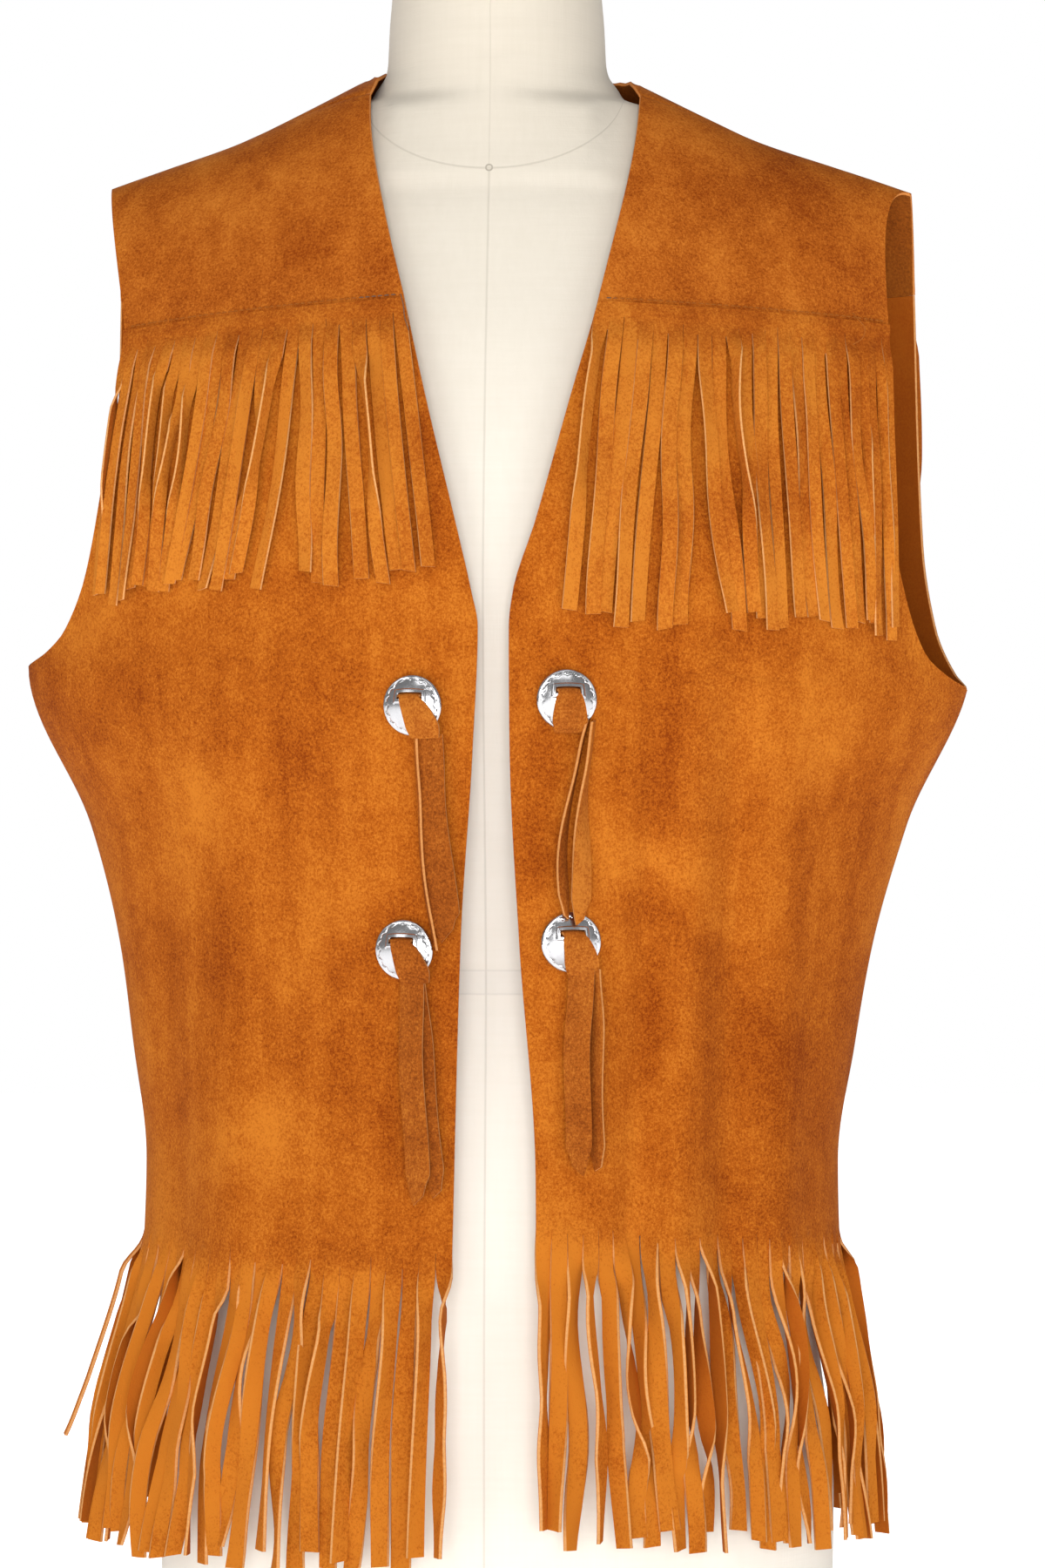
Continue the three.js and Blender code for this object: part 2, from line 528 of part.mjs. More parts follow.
function backPanel() {
  const surface = (across, up) => backPoint(across, lerp(backHem(across), BACK_SEAM - SEAM / 2, up));
  const corner = (SIDES.left.armpit + SIDES.right.armpit) / 2;
  const rows = panelRows(SIDES.left.hemSide, corner, BACK_SEAM, BACK_SEAM - YOKE_FRINGE.strip);
  const frame = (across, up) => frameAt(surface, -1, across, up, [-1, 1], PANEL_UP);
  return wall(frame, BACK_COLUMNS, rows, onFace(1));
}

const frontYoke = (side) => wall((across, up) => yokeFrame(side, across, up), YOKE_COLUMNS, YOKE_ROWS);
const backYoke = () => wall(backYokeFrame, BACK_YOKE_COLUMNS, BACK_YOKE_ROWS);

function frontYokeFringe(side) {
  const { sign, yokeFringe, fanFront, fanSide, salt } = SIDES[side];
  const strandLength = (i) => yokeFringe * (1 + 0.045 * uneven(i, 3));
  const edge = (across) => seamHeight(side, across) - SEAM / 2;
  const fan = (across) => sign * lerp(-fanFront, fanSide, across);
  const foot = (across) => edge(across) - YOKE_FRINGE.strip;
  const surface = hangingSurface(-1, (across, z) => frontPlace(side, across, z), foot, fan, yokeFringe);
  const measures = { ...YOKE_FRINGE, strands: YOKE_STRANDS[side] };
  return fringe(surface, sign, [0, 1], edge, measures, strandLength, salt);
}

function backYokeFringe() {
  const strandLength = (i) => BACK_FRINGE_LENGTH * (1 + 0.045 * uneven(i, 5));
  const measures = { ...YOKE_FRINGE, strands: YOKE_STRANDS.back };
  const edge = () => BACK_SEAM - SEAM / 2;
  const foot = () => edge() - YOKE_FRINGE.strip;
  const surface = hangingSurface(1, backPlace, foot, (across) => BACK_FAN * across, BACK_FRINGE_LENGTH);
  return fringe(surface, -1, [-1, 1], edge, measures, strandLength, 1.3);
}

function frontHemFringe(side) {
  const { sign, hemFringe, salt } = SIDES[side];
  const strandLength = (i) => (hemFringe - HEM_FRINGE.strip) * (1 + 0.035 * uneven(i, 7));
  const edge = (across) => hemHeight(side, across) - SEAM;
  const surface = (across, z) => frontPoint(side, across, z);
  const measures = { ...HEM_FRINGE, strands: HEM_STRANDS[side], loose: SIDES[side].loose, keep: onFace(-1) };
  return fringe(surface, sign, [0, 1], edge, measures, strandLength, salt + 3);
}

function backHemFringe() {
  const strandLength = (i) => (BACK_HEM_FRINGE - HEM_FRINGE.strip) * (1 + 0.035 * uneven(i, 9));
  const measures = { ...HEM_FRINGE, strands: HEM_STRANDS.back, keep: onFace(1) };
  return fringe(backPoint, -1, [-1, 1], (across) => backHem(across) - SEAM, measures, strandLength, 2.9);
}

// ---------------------------------------------------------------- conchos and ties
// The frame of the front's surface at a place given in millimetres.
const frontFrame = (x, z) => frameAt((across, up) => bodyPoint(-1, across * 100, up), 1, x / 100, z, [-2, 2]);

// The frame of a concho: it sits on the front, a little turned, with its back's rim just clear.
function conchoFrame(tie) {
  const frame = frontFrame(SIDES[tie.side].sign * tie.x, tie.z);
  const out = frame.out.clone().applyAxisAngle(new THREE.Vector3(0, 0, 1), tie.turn);
  const up = new THREE.Vector3(0, 0, 1).addScaledVector(out, -out.z).normalize();
  const across = new THREE.Vector3().crossVectors(up, out);
  const raised = Math.max(CONCHO.radius * Math.abs(Math.sin(tie.turn)) - CONCHO.hollow, 0);
  const at = frame.point.clone().addScaledVector(frame.out, CONCHO.clear + raised);
  return new THREE.Matrix4().makeBasis(across, up, out).setPosition(at);
}

function concho(tie) {
  const { radius, dome, thick, slotWide, slotHigh, slotOut } = CONCHO;
  const height = (s) => dome * (1 - s * s);
  const inner = [0, 0.6, 1].map((s) => new THREE.Vector2((radius - 0.6) * s, height(s)));
  const outer = [1, 0.9, 0.7, 0.4, 0].map((s) => new THREE.Vector2(radius * s, height(s) + thick));
  const disc = toSolid(new THREE.LatheGeometry([...inner, ...outer], 20).rotateX(Math.PI / 2));
  const slot = (sign) =>
    toSolid(new THREE.BoxGeometry(slotWide, slotHigh, 4 * dome).translate(0, sign * slotOut, 0));
  return fromSolid(disc.subtract(slot(1)).subtract(slot(-1))).applyMatrix4(conchoFrame(tie));
}

// A flat ribbon of hide: frames of {point, side, out, wide}, each a section across it.
const ribbon = (frames, thick) =>
  loft(frames.map(({ point, side, out, wide }) =>
    [[-1, -1], [1, -1], [1, 1], [-1, 1]].map(([across, away]) =>
      point.clone().addScaledVector(side, (across * wide) / 2).addScaledVector(out, (away * thick) / 2))));

// A tie: its flap comes out of the concho's upper slot and lies down over the disc and its lower rim,
// and two pointed tails hang from under the flap's end.
function tieThong(tie) {
  const seat = conchoFrame(tie);
  const spin = new THREE.Matrix4().extractRotation(seat);
  const way = (y, z) => new THREE.Vector3(0, y, z).normalize().applyMatrix4(spin);
  const side = new THREE.Vector3(1, 0, 0).applyMatrix4(spin);
  const flap = TIE_FLAP.map(({ y, z, lean, wide, slip }) => ({
    point: new THREE.Vector3(slip * tie.aside, y, z).applyMatrix4(seat),
    out: way(Math.sin(lean), Math.cos(lean)),
    side,
    wide,
  }));
  const end = flap[flap.length - 2];
  const tails = tie.tails.map((tail, i) => {
    const beside = (i ? 1 : -1) * tail.wide * 0.22;
    const start = { ...end, wide: tail.wide, point: end.point.clone().addScaledVector(side, beside) };
    const hang = TIE_TAIL.map(({ share: down, out, wide }) => {
      const drop = lerp(17, tail.drop, down);
      const x = SIDES[tie.side].sign * tie.x + tie.aside + beside + tail.sway * down;
      const frame = frontFrame(x + (wide < 1 ? beside * 0.8 : 0), tie.z - drop);
      frame.point.addScaledVector(frame.out, out + i * TIE_LAYER);
      return { ...frame, wide: wide * tail.wide };
    });
    return ribbon([start, ...hang], TIE_HIDE);
  });
  return join([ribbon(flap, TIE_HIDE), ...tails]);
}

// ---------------------------------------------------------------- the dress form
// The form's rows: the body's, then the shoulders' just under the hide that rests on them, the neck's.
function formRows() {
  const onShoulder = [FORM_WIDEST, 168, 152, 132, 112, 94, 81].map((half) => ({
    z: ridge(half) - SUEDE - SHOULDER_GAP,
    half,
    front: lerp(58, 68, (half - 81) / (FORM_WIDEST - 81)),
    back: lerp(67, 79, (half - 81) / (FORM_WIDEST - 81)),
    square: 1.6,
  }));
  return [...FORM_SECTIONS, ...onShoulder, ...NECK_SECTIONS];
}

// The form's reach at a place is its own, or less where the hide lies close over it.
function formReach(face, x, z, own) {
  if (z > NECK_ABOVE) return own;
  const beside = Math.sign(x) * Math.min(Math.abs(x) + 1.5, FORM_WIDEST);
  return Math.min(own, FORM_SHARE * Math.abs(bodyPoint(face, beside, z + SUEDE + SHOULDER_GAP).y));
}

function dressForm() {
  const rows = formRows();
  const names = ["half", "front", "back", "square"];
  const measure = Object.fromEntries(names.map((name) => [name, curve(rows, "z", name)]));
  const between = [570, 630, 690, 742];
  const heights = [...rows.map((row) => row.z), ...between].sort((a, b) => a - b);
  return loft(heights.map((z) => Array.from({ length: FORM_SIDES }, (_, i) => {
    const angle = (2 * Math.PI * i) / FORM_SIDES;
    const round = 2 / measure.square(z);
    const [c, s] = [Math.cos(angle), Math.sin(angle)];
    const x = measure.half(z) * Math.sign(c) * Math.abs(c) ** round;
    const face = s < 0 ? -1 : 1;
    const own = (s < 0 ? measure.front(z) : measure.back(z)) * Math.abs(s) ** round;
    return new THREE.Vector3(x, face * formReach(face, x, z, own), z);
  })));
}

function neckCap() {
  const top = NECK_SECTIONS[NECK_SECTIONS.length - 1];
  const profile = [[0, 0], [1, 0], [1, 0.55], [0.96, 0.85], [0.88, 1], [0, 1]];
  const points = profile.map(([r, h]) => new THREE.Vector2(r, h));
  return new THREE.LatheGeometry(points, 24).rotateX(Math.PI / 2)
    .scale(top.half - NECK_CAP.inset, (top.front + top.back) / 2 - NECK_CAP.inset, NECK_CAP.thick)
    .translate(0, NECK_CAP.lean, top.z + NECK_CAP.gap);
}

const latheUpright = (rows, sides) =>
  new THREE.LatheGeometry(rows.map(([r, z]) => new THREE.Vector2(r, z)), sides).rotateX(Math.PI / 2);

function foot() {
  const { footRadius: r, footHigh: high } = STAND;
  return latheUpright([[0, 0], [r - 3, 0], [r, 3], [r, high - 6], [r - 6, high], [0, high]], 28);
}

function post() {
  const { postRadius: r, footHigh, flangeRadius, flangeHigh, gap } = STAND;
  const bottom = footHigh + gap;
  const top = FORM_SECTIONS[0].z - gap;
  return latheUpright([
    [0, bottom], [r + 14, bottom], [r + 12, bottom + 5], [r, bottom + 10],
    [r, top - flangeHigh], [flangeRadius, top - flangeHigh + 2], [flangeRadius, top], [0, top],
  ], 16);
}

// ---------------------------------------------------------------- assembly
const suede = new THREE.MeshStandardMaterial({ color: 0xb8641f, roughness: 0.95, metalness: 0 });
const thong = new THREE.MeshStandardMaterial({ color: 0xa3571d, roughness: 0.9, metalness: 0 });
const silver = new THREE.MeshStandardMaterial({ color: 0xd4d4d6, roughness: 0.15, metalness: 1 });
const linen = new THREE.MeshStandardMaterial({ color: 0xe9e2d3, roughness: 0.85, metalness: 0 });
const wood = new THREE.MeshStandardMaterial({ color: 0x8a6843, roughness: 0.5, metalness: 0 });
const iron = new THREE.MeshStandardMaterial({ color: 0x2c2a28, roughness: 0.45, metalness: 0.6 });

const part = new THREE.Group();
function add(name, geometry, material) {
  const mesh = new THREE.Mesh(geometry, material);
  mesh.name = name;
  part.add(mesh);
}

add("form_foot", foot(), wood);
add("form_post", post(), iron);
add("form_body", dressForm(), linen);
add("form_neck_cap", neckCap(), wood);
for (const side of Object.keys(SIDES)) {
  add(`front_${side}`, frontPanel(side), suede);
  add(`yoke_${side}`, frontYoke(side), suede);
  add(`yoke_fringe_${side}`, frontYokeFringe(side), suede);
  add(`hem_fringe_${side}`, frontHemFringe(side), suede);
}
add("back", backPanel(), suede);
add("yoke_back", backYoke(), suede);
add("yoke_fringe_back", backYokeFringe(), suede);
add("hem_fringe_back", backHemFringe(), suede);
for (const tie of TIES) {
  add(`concho_${tie.name}`, concho(tie), silver);
  add(`tie_${tie.name}`, tieThong(tie), thong);
}

export default part;
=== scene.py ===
"""A fringed suede vest worn by a linen-covered dress form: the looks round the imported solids."""

import math

import bpy
import numpy as np
from mathutils import Matrix, Vector


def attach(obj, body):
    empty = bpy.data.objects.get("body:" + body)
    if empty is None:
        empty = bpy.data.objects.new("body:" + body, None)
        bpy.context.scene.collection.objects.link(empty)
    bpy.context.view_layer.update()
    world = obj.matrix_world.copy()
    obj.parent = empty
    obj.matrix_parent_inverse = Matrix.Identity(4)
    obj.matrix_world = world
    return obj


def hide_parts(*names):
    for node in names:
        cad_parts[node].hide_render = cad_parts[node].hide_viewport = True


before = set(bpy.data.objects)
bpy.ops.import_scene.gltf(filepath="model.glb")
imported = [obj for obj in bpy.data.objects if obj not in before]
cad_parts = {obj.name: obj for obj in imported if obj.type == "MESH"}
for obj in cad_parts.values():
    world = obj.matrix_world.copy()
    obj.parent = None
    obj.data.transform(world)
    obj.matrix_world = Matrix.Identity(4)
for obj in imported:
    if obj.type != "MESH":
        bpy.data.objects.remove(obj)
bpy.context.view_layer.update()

MM = 0.001  # every size below is in millimetres until a mesh is made

# ---------------------------------------------------------------- sizes of the vest
SUEDE = 1.6
SEAM = 0.12
CAP_BASE = 560.0  # above this height the cloth rounds in towards the shoulders' ridge
CAP_POWER = 2.1
BACK_SEAM = 757.0
NECK_RISE = (765.0, 850.0)
NECK_SHARE = 0.36
NECK_TURN = 0.88
# How far a yoke's neck edge and armhole edge bow out sideways; the right armhole edge hangs fuller.
YOKE_BULGE = {"left": (5.5, -6.0), "right": (5.5, 3.0)}
SEAM_LEAN_GAP = SEAM / 2 / 80  # half a seam as an angle, about 80 mm from the shoulders' middle


def table(names, *rows):
    """Rows with named columns."""
    keys = names.split()
    return [dict(zip(keys, row)) for row in rows]


# The vest's level sections: half width, middle line, reach to the front and the back, and how pinched
# its sides are.
VEST_SECTIONS = table(
    "z half middle front back pinch",
    (160, 190, -8, 131, 131, 1.0),
    (215, 185, -6, 130, 131, 1.0),
    (300, 168, -3, 123, 122, 1.0),
    (340, 167, -3, 120, 112, 1.05),
    (394, 174, -2, 119, 101, 1.15),
    (440, 181, -1, 120, 97, 1.25),
    (500, 197, 0, 125, 101, 1.35),
    (577, 227.5, 0, 130, 108, 1.4),
    (640, 224, 0, 130, 113, 1.2),
    (700, 217, 0, 125, 114, 1.0),
    (830, 214, 0, 114, 108, 1.0),
)
RIDGE = table(
    "x z low",
    (0, 925, 880),
    (25, 914, 874),
    (40, 892, 868),
    (50, 871, 863.5),
    (57, 861.5, 860.5),
    (66, 857, 857),
    (80, 850, 850),
    (105, 838, 838),
    (127, 828, 828),
    (159, 817, 817),
    (180, 810, 810),
    (200, 803, 803),
)
FRONT_EDGES = table(
    "z left right",
    (160, 25.5, 16),
    (340, 24.5, 13),
    (447, 17, 10),
    (535, 13, 4),
    (592, 12.7, 1.5),
    (608, 14.5, 4.5),
    (640, 24.5, 12),
    (700, 40.5, 27),
    (745, 52.5, 37.5),
    (800, 63, 49.5),
    (850, 71, 58.5),
)
# Armhole edges: how far out they are, by their height above the armpit.
ARMHOLE = table(
    "rise left right",
    (0, 227.5, 227.5),
    (6, 216, 215),
    (16, 205, 204),
    (42, 195.5, 192),
    (85, 187.5, 183),
    (150, 186, 173),
    (195, 190.5, 179),
    (235, 199, 186.5),
)
BACK_ARMHOLE = table(
    "rise left right",
    (0, 227.5, 227.5),
    (8, 221, 219),
    (30, 212, 205),
    (70, 206, 194),
    (192, 201.5, 186.5),
)
NECKLINE = table(
    "x lean",
    (0, -0.54),
    (28, -0.47),
    (42, -0.36),
    (50, -0.25),
    (55, -0.16),
    (60, -0.08),
    (70, -0.03),
)
# Each side's own heights, widths and lengths. tip and neck are where its shoulder seam ends, lean is the
# angle by which that seam lies in front of the ridge at the neck, and fan is how far the yoke fringe's
# lower end spreads out.
SIDES = {
    row["side"]: row
    for row in table(
        "side sign armpit tip neck lean hem_front hem_side seam_front seam_side fringe"
        " fan_front fan_side hem_fringe salt loose",
        ("left", 1, 565, 199, 70, 0.22, 322, 310, 743, 736, 139, 18.5, 3, 146, 0.6, 0),
        ("right", -1, 577, 186.5, 59, 0.28, 308, 309, 745, 734, 121, 17, 14, 145, 2.1, 13),
    )
}
# Soft upright folds: ridges where depth is positive and troughs where it is negative.
FOLDS = table(
    "face x_foot x_head foot head depth width",
    (-1, 66, 84, 215, 640, -5.5, 9),
    (-1, 84, 103, 205, 660, 4.5, 12),
    (-1, 112, 116, 215, 655, -4.5, 9),
    (-1, 133, 142, 215, 620, 3.5, 10),
    (-1, -118, -117, 200, 600, 3, 16),
    (-1, -146, -160, 215, 560, -3, 12),
    (1, -96, -70, 205, 690, 4.5, 17),
    (1, -58, -36, 215, 600, -3.5, 15),
    (1, 20, 8, 200, 640, 3.5, 18),
    (1, 74, 52, 215, 700, -4, 15),
    (1, 116, 100, 205, 640, 4, 16),
)

# Fringes. strip is the uncut part's height and slit how far down some slits start below it. out is how
# far the strip lies out of the cloth behind it. Strands stand off it by stand, layer and lift, stray and
# wave sideways, and twist a little. The share turned of them turns edge-on for a stretch.
YOKE_FRINGE = dict(
    strip=7, share=0.97, out=1.7, tuck=-0.35, thick=1.2, stand=0.7, layer=1.5, slit=2.4, lock=1.6,
    stray=2.2, wave=(0.6, 0.6), turned=0.3, turn=1.2, twist=0.24, lift=0.5, bevel=0.2, swell=0.03,
)
HEM_FRINGE = dict(
    strip=3, share=0.97, out=0, tuck=0, thick=SUEDE, stand=-0.9, layer=1.9, slit=1.5, lock=2.4,
    stray=2.0, wave=(1.1, 1.3), turned=0.38, turn=1.2, twist=0.6, lift=0.6, bevel=0.55, swell=0.12,
)
RIGHT_SLIT = 1.1  # the right yoke's slits run further up
LOOSE_SHARE = 0.72  # a loose outermost strand's share of the others' length
LEFT_HEM_WAVE = (0.9, 2.4)  # strands wave more towards the wearer's left side
YOKE_STRANDS = {"left": 24, "right": 25, "back": 44}
HEM_STRANDS = {"left": 32, "right": 33, "back": 58}
# How far the yoke fringes' tips lean from hanging straight, towards the side seam. They part in one place.
LEAN = table(
    "across left right",
    (0, -18.5, -17),
    (0.05, -10, -14),
    (0.17, -12, -8),
    (0.23, -1, -2),
    (0.28, 1, -2),
    (0.3, 12, -2),
    (0.325, 12, -1),
    (0.345, 11, 19),
    (0.5, 9, 19.5),
    (0.7, 11, 16),
    (0.85, 8.5, 14),
    (1, 3, 14),
)
BACK_FRINGE_LENGTH = 130
BACK_FAN = 3
BACK_HEM_FRINGE = 144
BACK_HEM = 311
BACK_ARMPIT = 571

CONCHO = dict(
    radius=14, dome=4.2, thick=1.0, rim=0.6, clear=0.35, hollow=0.35,
    slot_out=4.6, slot_high=2.6, slot_wide=11.5, scallops=8,
)
TIES = table(
    "name side x z turn aside",
    ("upper_left", "left", 39, 558.5, 0.08, 0.5),
    ("lower_left", "left", 40.5, 447.5, 0.05, 4),
    ("upper_right", "right", 31, 556, -0.15, 6.5),
    ("lower_right", "right", 35.5, 444, -0.12, 6),
)
# Each tail: its width, its way down as sideways places at its top, middle and tip (from the concho's
# middle) and the heights of its ends, its turn edge-on above and below, its tone and its slanted tip.
TAILS = table(
    "tie wide x_top x_mid x_tip top tip turn_top turn_low layer tone slant",
    ("upper_left", 8, 9.2, -0.8, -1.8, 9, 99, -1.35, -0.9, 0, -0.6, -0.6),
    ("upper_left", 9.5, 11.4, 6.2, 4.4, 9.5, 101, -1.3, -0.25, 1, 0.4, 0.7),
    ("lower_left", 12, 4.2, 2.2, 1.9, 12, 105, 0.3, 0.15, 1, -0.3, -0.9),
    ("lower_left", 9, 9.5, 10.6, 10.8, 12, 104, 1.0, 0.95, 0, -0.2, 0.5),
    ("upper_right", 7, 1.6, 4.3, 10.4, 13, 112, 1.3, 1.3, 0, -0.3, 0.0),
    ("upper_right", 13.5, 7.5, 10.8, 15.8, 13, 105, 0.1, 0.12, 1, -0.6, 1.15),
    ("lower_right", 11.5, 4.2, 4.8, 7.3, 12, 115, 0.2, 0.1, 1, 0.3, 0.95),
    ("lower_right", 9.5, 5, 10.5, 15, 12, 112, 0.2, 0.2, 0, -0.5, 0.9),
)
TIE_HIDE = 1.4
TIE_LAYER = 2.0
TIE_FLAP = table(
    "y z lean wide slip",
    (4.6, 0.6, math.pi / 2, 10.4, 0),
    (4.6, 5, 1.2, 10.4, 0),
    (3, 6.6, 0.35, 12, 0.2),
    (-3, 7.1, -0.05, 14.5, 0.7),
    (-9, 6.1, -0.3, 16, 1),
    (-14.5, 4.2, -0.4, 13.5, 1.1),
)
TIE_TAIL = table("share out", (0, 5.2), (0.35, 5), (0.72, 5.6), (0.87, 6), (1, 6.2))

# ---------------------------------------------------------------- sizes of the dress form
FORM_SECTIONS = table(
    "z half front back square",
    (92, 157, 99, 110, 2.3),
    (125, 161, 103, 114, 2.3),
    (180, 162, 106, 116, 2.3),
    (240, 156, 106, 114, 2.3),
    (300, 145, 103, 105, 2.3),
    (360, 131, 97, 90, 2.3),
    (428, 120, 91, 79, 2.25),
    (480, 125, 97, 81, 2.25),
    (540, 137, 109, 88, 2.25),
    (600, 147, 116, 96, 2.25),
    (660, 155, 108, 101, 2.2),
    (720, 165, 94, 99, 2.1),
    (765, 175, 80, 90, 1.9),
    (790, 179, 72, 82, 1.7),
    (801, 178, 68, 79, 1.6),
)
NECK_SECTIONS = table(
    "z half front back square",
    (846.5, 68, 58, 64.5, 1.6),
    (849, 61.5, 57.5, 62.5, 1.65),
    (853.5, 58.5, 57, 61, 1.7),
    (861, 53.6, 56.5, 57, 1.85),
    (866, 52.6, 56, 54.5, 1.95),
    (873, 52.2, 56, 52.5, 2),
    (882, 51.8, 56, 51, 2),
    (905, 50, 58, 46, 2),
    (938, 49, 59, 43, 2),
)
SHOULDER_GAP = 1.2
FORM_SHARE = 0.9  # below the neck the form reaches no further than this share of the hide's reach
FORM_WIDEST = 178
FORM_NECK_FOOT = 81  # half the form's width where its shoulders turn up into the neck
CLOSE_ROWS = (780, 870)  # the form's rows are closest together between these heights
NECK_ABOVE = 862
NECK_CAP = dict(gap=0.3, thick=8, inset=3, lean=-8)
STAND = dict(foot_radius=138, foot_high=16, post_radius=15, flange_radius=46, gap=0.3)
WAIST = dict(height=428, tape=5.5)  # the waist seam and half its tape's width
NECK_SEAM = dict(front=809, side=849, back=859, half=62)  # its heights, and half its width
SIDE_SEAM = 3  # how far behind the form's middle its side seams lie
EYELET = (0, -66, 809)
FLOOR_RADIUS = 6000


# ---------------------------------------------------------------- curves
def lerp(a, b, t):
    return a + (b - a) * t


def smooth(t):
    t = np.clip(t, 0, 1)
    return t * t * (3 - 2 * t)


def length_of(v):
    return np.sqrt((v * v).sum(-1))


def unit(v):
    return v / np.maximum(length_of(v), 1e-12)[..., None]


def uneven(number, salt):
    """A repeatable uneven number from -1 to 1 for each whole number."""
    wave = np.sin(np.asarray(number) * 12.9898 + salt * 78.233) * 43758.5453
    return 2 * (wave - np.floor(wave)) - 1


def curve(rows, key, name):
    """A smooth curve through one column of a table. It never overshoots the rows."""
    at = np.array([row[key] for row in rows], float)
    value = np.array([row[name] for row in rows], float)
    slope = np.diff(value) / np.diff(at)
    before = np.concatenate([slope[:1], slope])
    after = np.concatenate([slope, slope[-1:]])
    both = before + after
    rising = before * after > 0
    tangent = np.where(rising, 2 * before * after / np.where(rising, both, 1), 0)

    def read(x):
        cell = np.clip(np.searchsorted(at, x, side="right") - 1, 0, len(at) - 2)
        step = at[cell + 1] - at[cell]
        t = np.clip((x - at[cell]) / step, 0, 1)
        rise = value[cell + 1] - value[cell]
        start = tangent[cell] * step
        end = tangent[cell + 1] * step
        return value[cell] + t * (start + t * (3 * rise - 2 * start - end + t * (start + end - 2 * rise)))

    return read


vest_half = curve(VEST_SECTIONS, "z", "half")
vest_middle = curve(VEST_SECTIONS, "z", "middle")
vest_pinch = curve(VEST_SECTIONS, "z", "pinch")
vest_reach = {-1: curve(VEST_SECTIONS, "z", "front"), 1: curve(VEST_SECTIONS, "z", "back")}
ridge_high = curve(RIDGE, "x", "z")
ridge_low = curve(RIDGE, "x", "low")
front_edge = {side: curve(FRONT_EDGES, "z", side) for side in SIDES}
armhole = {side: curve(ARMHOLE, "rise", side) for side in SIDES}
back_armhole = {side: curve(BACK_ARMHOLE, "rise", side) for side in SIDES}
neckline_lean = curve(NECKLINE, "x", "lean")


# ---------------------------------------------------------------- the vest's surface
def ridge_for(x, z):
    """Height of the shoulders' top line over x, as the cloth at height z follows it."""
    blend = smooth((z - NECK_RISE[0]) / (NECK_RISE[1] - NECK_RISE[0]))
    return lerp(ridge_low(np.abs(x)), ridge_high(np.abs(x)), blend)


def fold_at(face, x, z):
    """How far the cloth stands out at a place, from the soft upright folds there."""
    total = np.zeros(np.broadcast(x, z).shape)
    for fold in FOLDS:
        if fold["face"] != face:
            continue
        up = np.clip((z - fold["foot"]) / (fold["head"] - fold["foot"]), 0, 1)
        across = (x - lerp(fold["x_foot"], fold["x_head"], up)) / fold["width"]
        total = total + fold["depth"] * np.sin(np.pi * np.sqrt(up)) * np.exp(-across * across)
    return total


def cloth_point(face, x, z, inward):
    half = vest_half(z)
    reach = vest_reach[face](z)
    aside = x - vest_middle(z)
    level = np.clip(aside / half, -1, 1)
    depth = reach * np.sqrt(1 - level * level) ** vest_pinch(z) * inward
    out = unit(np.stack([aside / (half * half), face * depth / (reach * reach)], -1))
    fold = fold_at(face, x, z)
    return np.stack([x + out[..., 0] * fold, face * depth + out[..., 1] * fold, z + 0 * x], -1)


def body_point(face, x, z):
    level = np.clip((z - CAP_BASE) / (ridge_for(x, z) - CAP_BASE), 0, 1)
    return cloth_point(face, x, z, (1 - level**CAP_POWER) ** (1 / CAP_POWER))


def shoulder_point(x, lean):
    """A point of the shoulders by its lean: 0 on the ridge, positive in front of it."""
    z = ridge_high(np.abs(x))
    for _ in range(30):
        z = CAP_BASE + (ridge_for(x, z) - CAP_BASE) * np.cos(lean) ** (2 / CAP_POWER)
    inward = np.abs(np.sin(lean)) ** (2 / CAP_POWER)
    front = cloth_point(-1, x, z, inward)
    back = cloth_point(1, x, z, inward)
    return np.where((lean > 0)[..., None], front, back)


def lean_at(x, z):
    return np.arccos(((z - CAP_BASE) / (ridge_for(x, z) - CAP_BASE)) ** (CAP_POWER / 2))


def shoulder_frame(x, lean):
    """The shoulders' point and the way out of the cloth there."""
    wide, turn = 0.5, 0.004
    across = shoulder_point(x + wide, lean) - shoulder_point(x - wide, lean)
    forward = shoulder_point(x, lean + turn) - shoulder_point(x, lean - turn)
    return shoulder_point(x, lean), unit(np.cross(forward, across))


def outer_angle(opening, side, z):
    armpit, sign = SIDES[side]["armpit"], SIDES[side]["sign"]
    reach = opening[side](np.maximum(z - armpit, 0))
    angle = np.arcsin(np.clip((sign * reach - vest_middle(z)) / vest_half(z), -1, 1))
    return np.where(z <= armpit, sign * np.pi / 2, angle)


def place_at(angle, z):
    return vest_middle(z) + vest_half(z) * np.sin(angle)


def front_place(side, across, z):
    """A front's place: across runs from the front edge to the side seam or armhole."""
    edge = SIDES[side]["sign"] * front_edge[side](z)
    inner = np.arcsin(np.clip((edge - vest_middle(z)) / vest_half(z), -1, 1))
    return place_at(lerp(inner, outer_angle(armhole, side, z), across), z)


def back_place(across, z):
    """The back's place: across runs from -1 at the wearer's right to 1 at the left."""
    right = outer_angle(back_armhole, "right", z)
    left = outer_angle(back_armhole, "left", z)
    return place_at(np.abs(across) * np.where(across < 0, right, left), z)


def back_point(across, z):
    return body_point(1, back_place(across, z), z)


def hem_height(side, across):
    return lerp(SIDES[side]["hem_front"], SIDES[side]["hem_side"], across)


def seam_height(side, across):
    return lerp(SIDES[side]["seam_front"], SIDES[side]["seam_side"], across)


def back_hem(across):
    end = np.where(across < 0, SIDES["right"]["hem_side"], SIDES["left"]["hem_side"])
    return lerp(BACK_HEM, end, across**2)


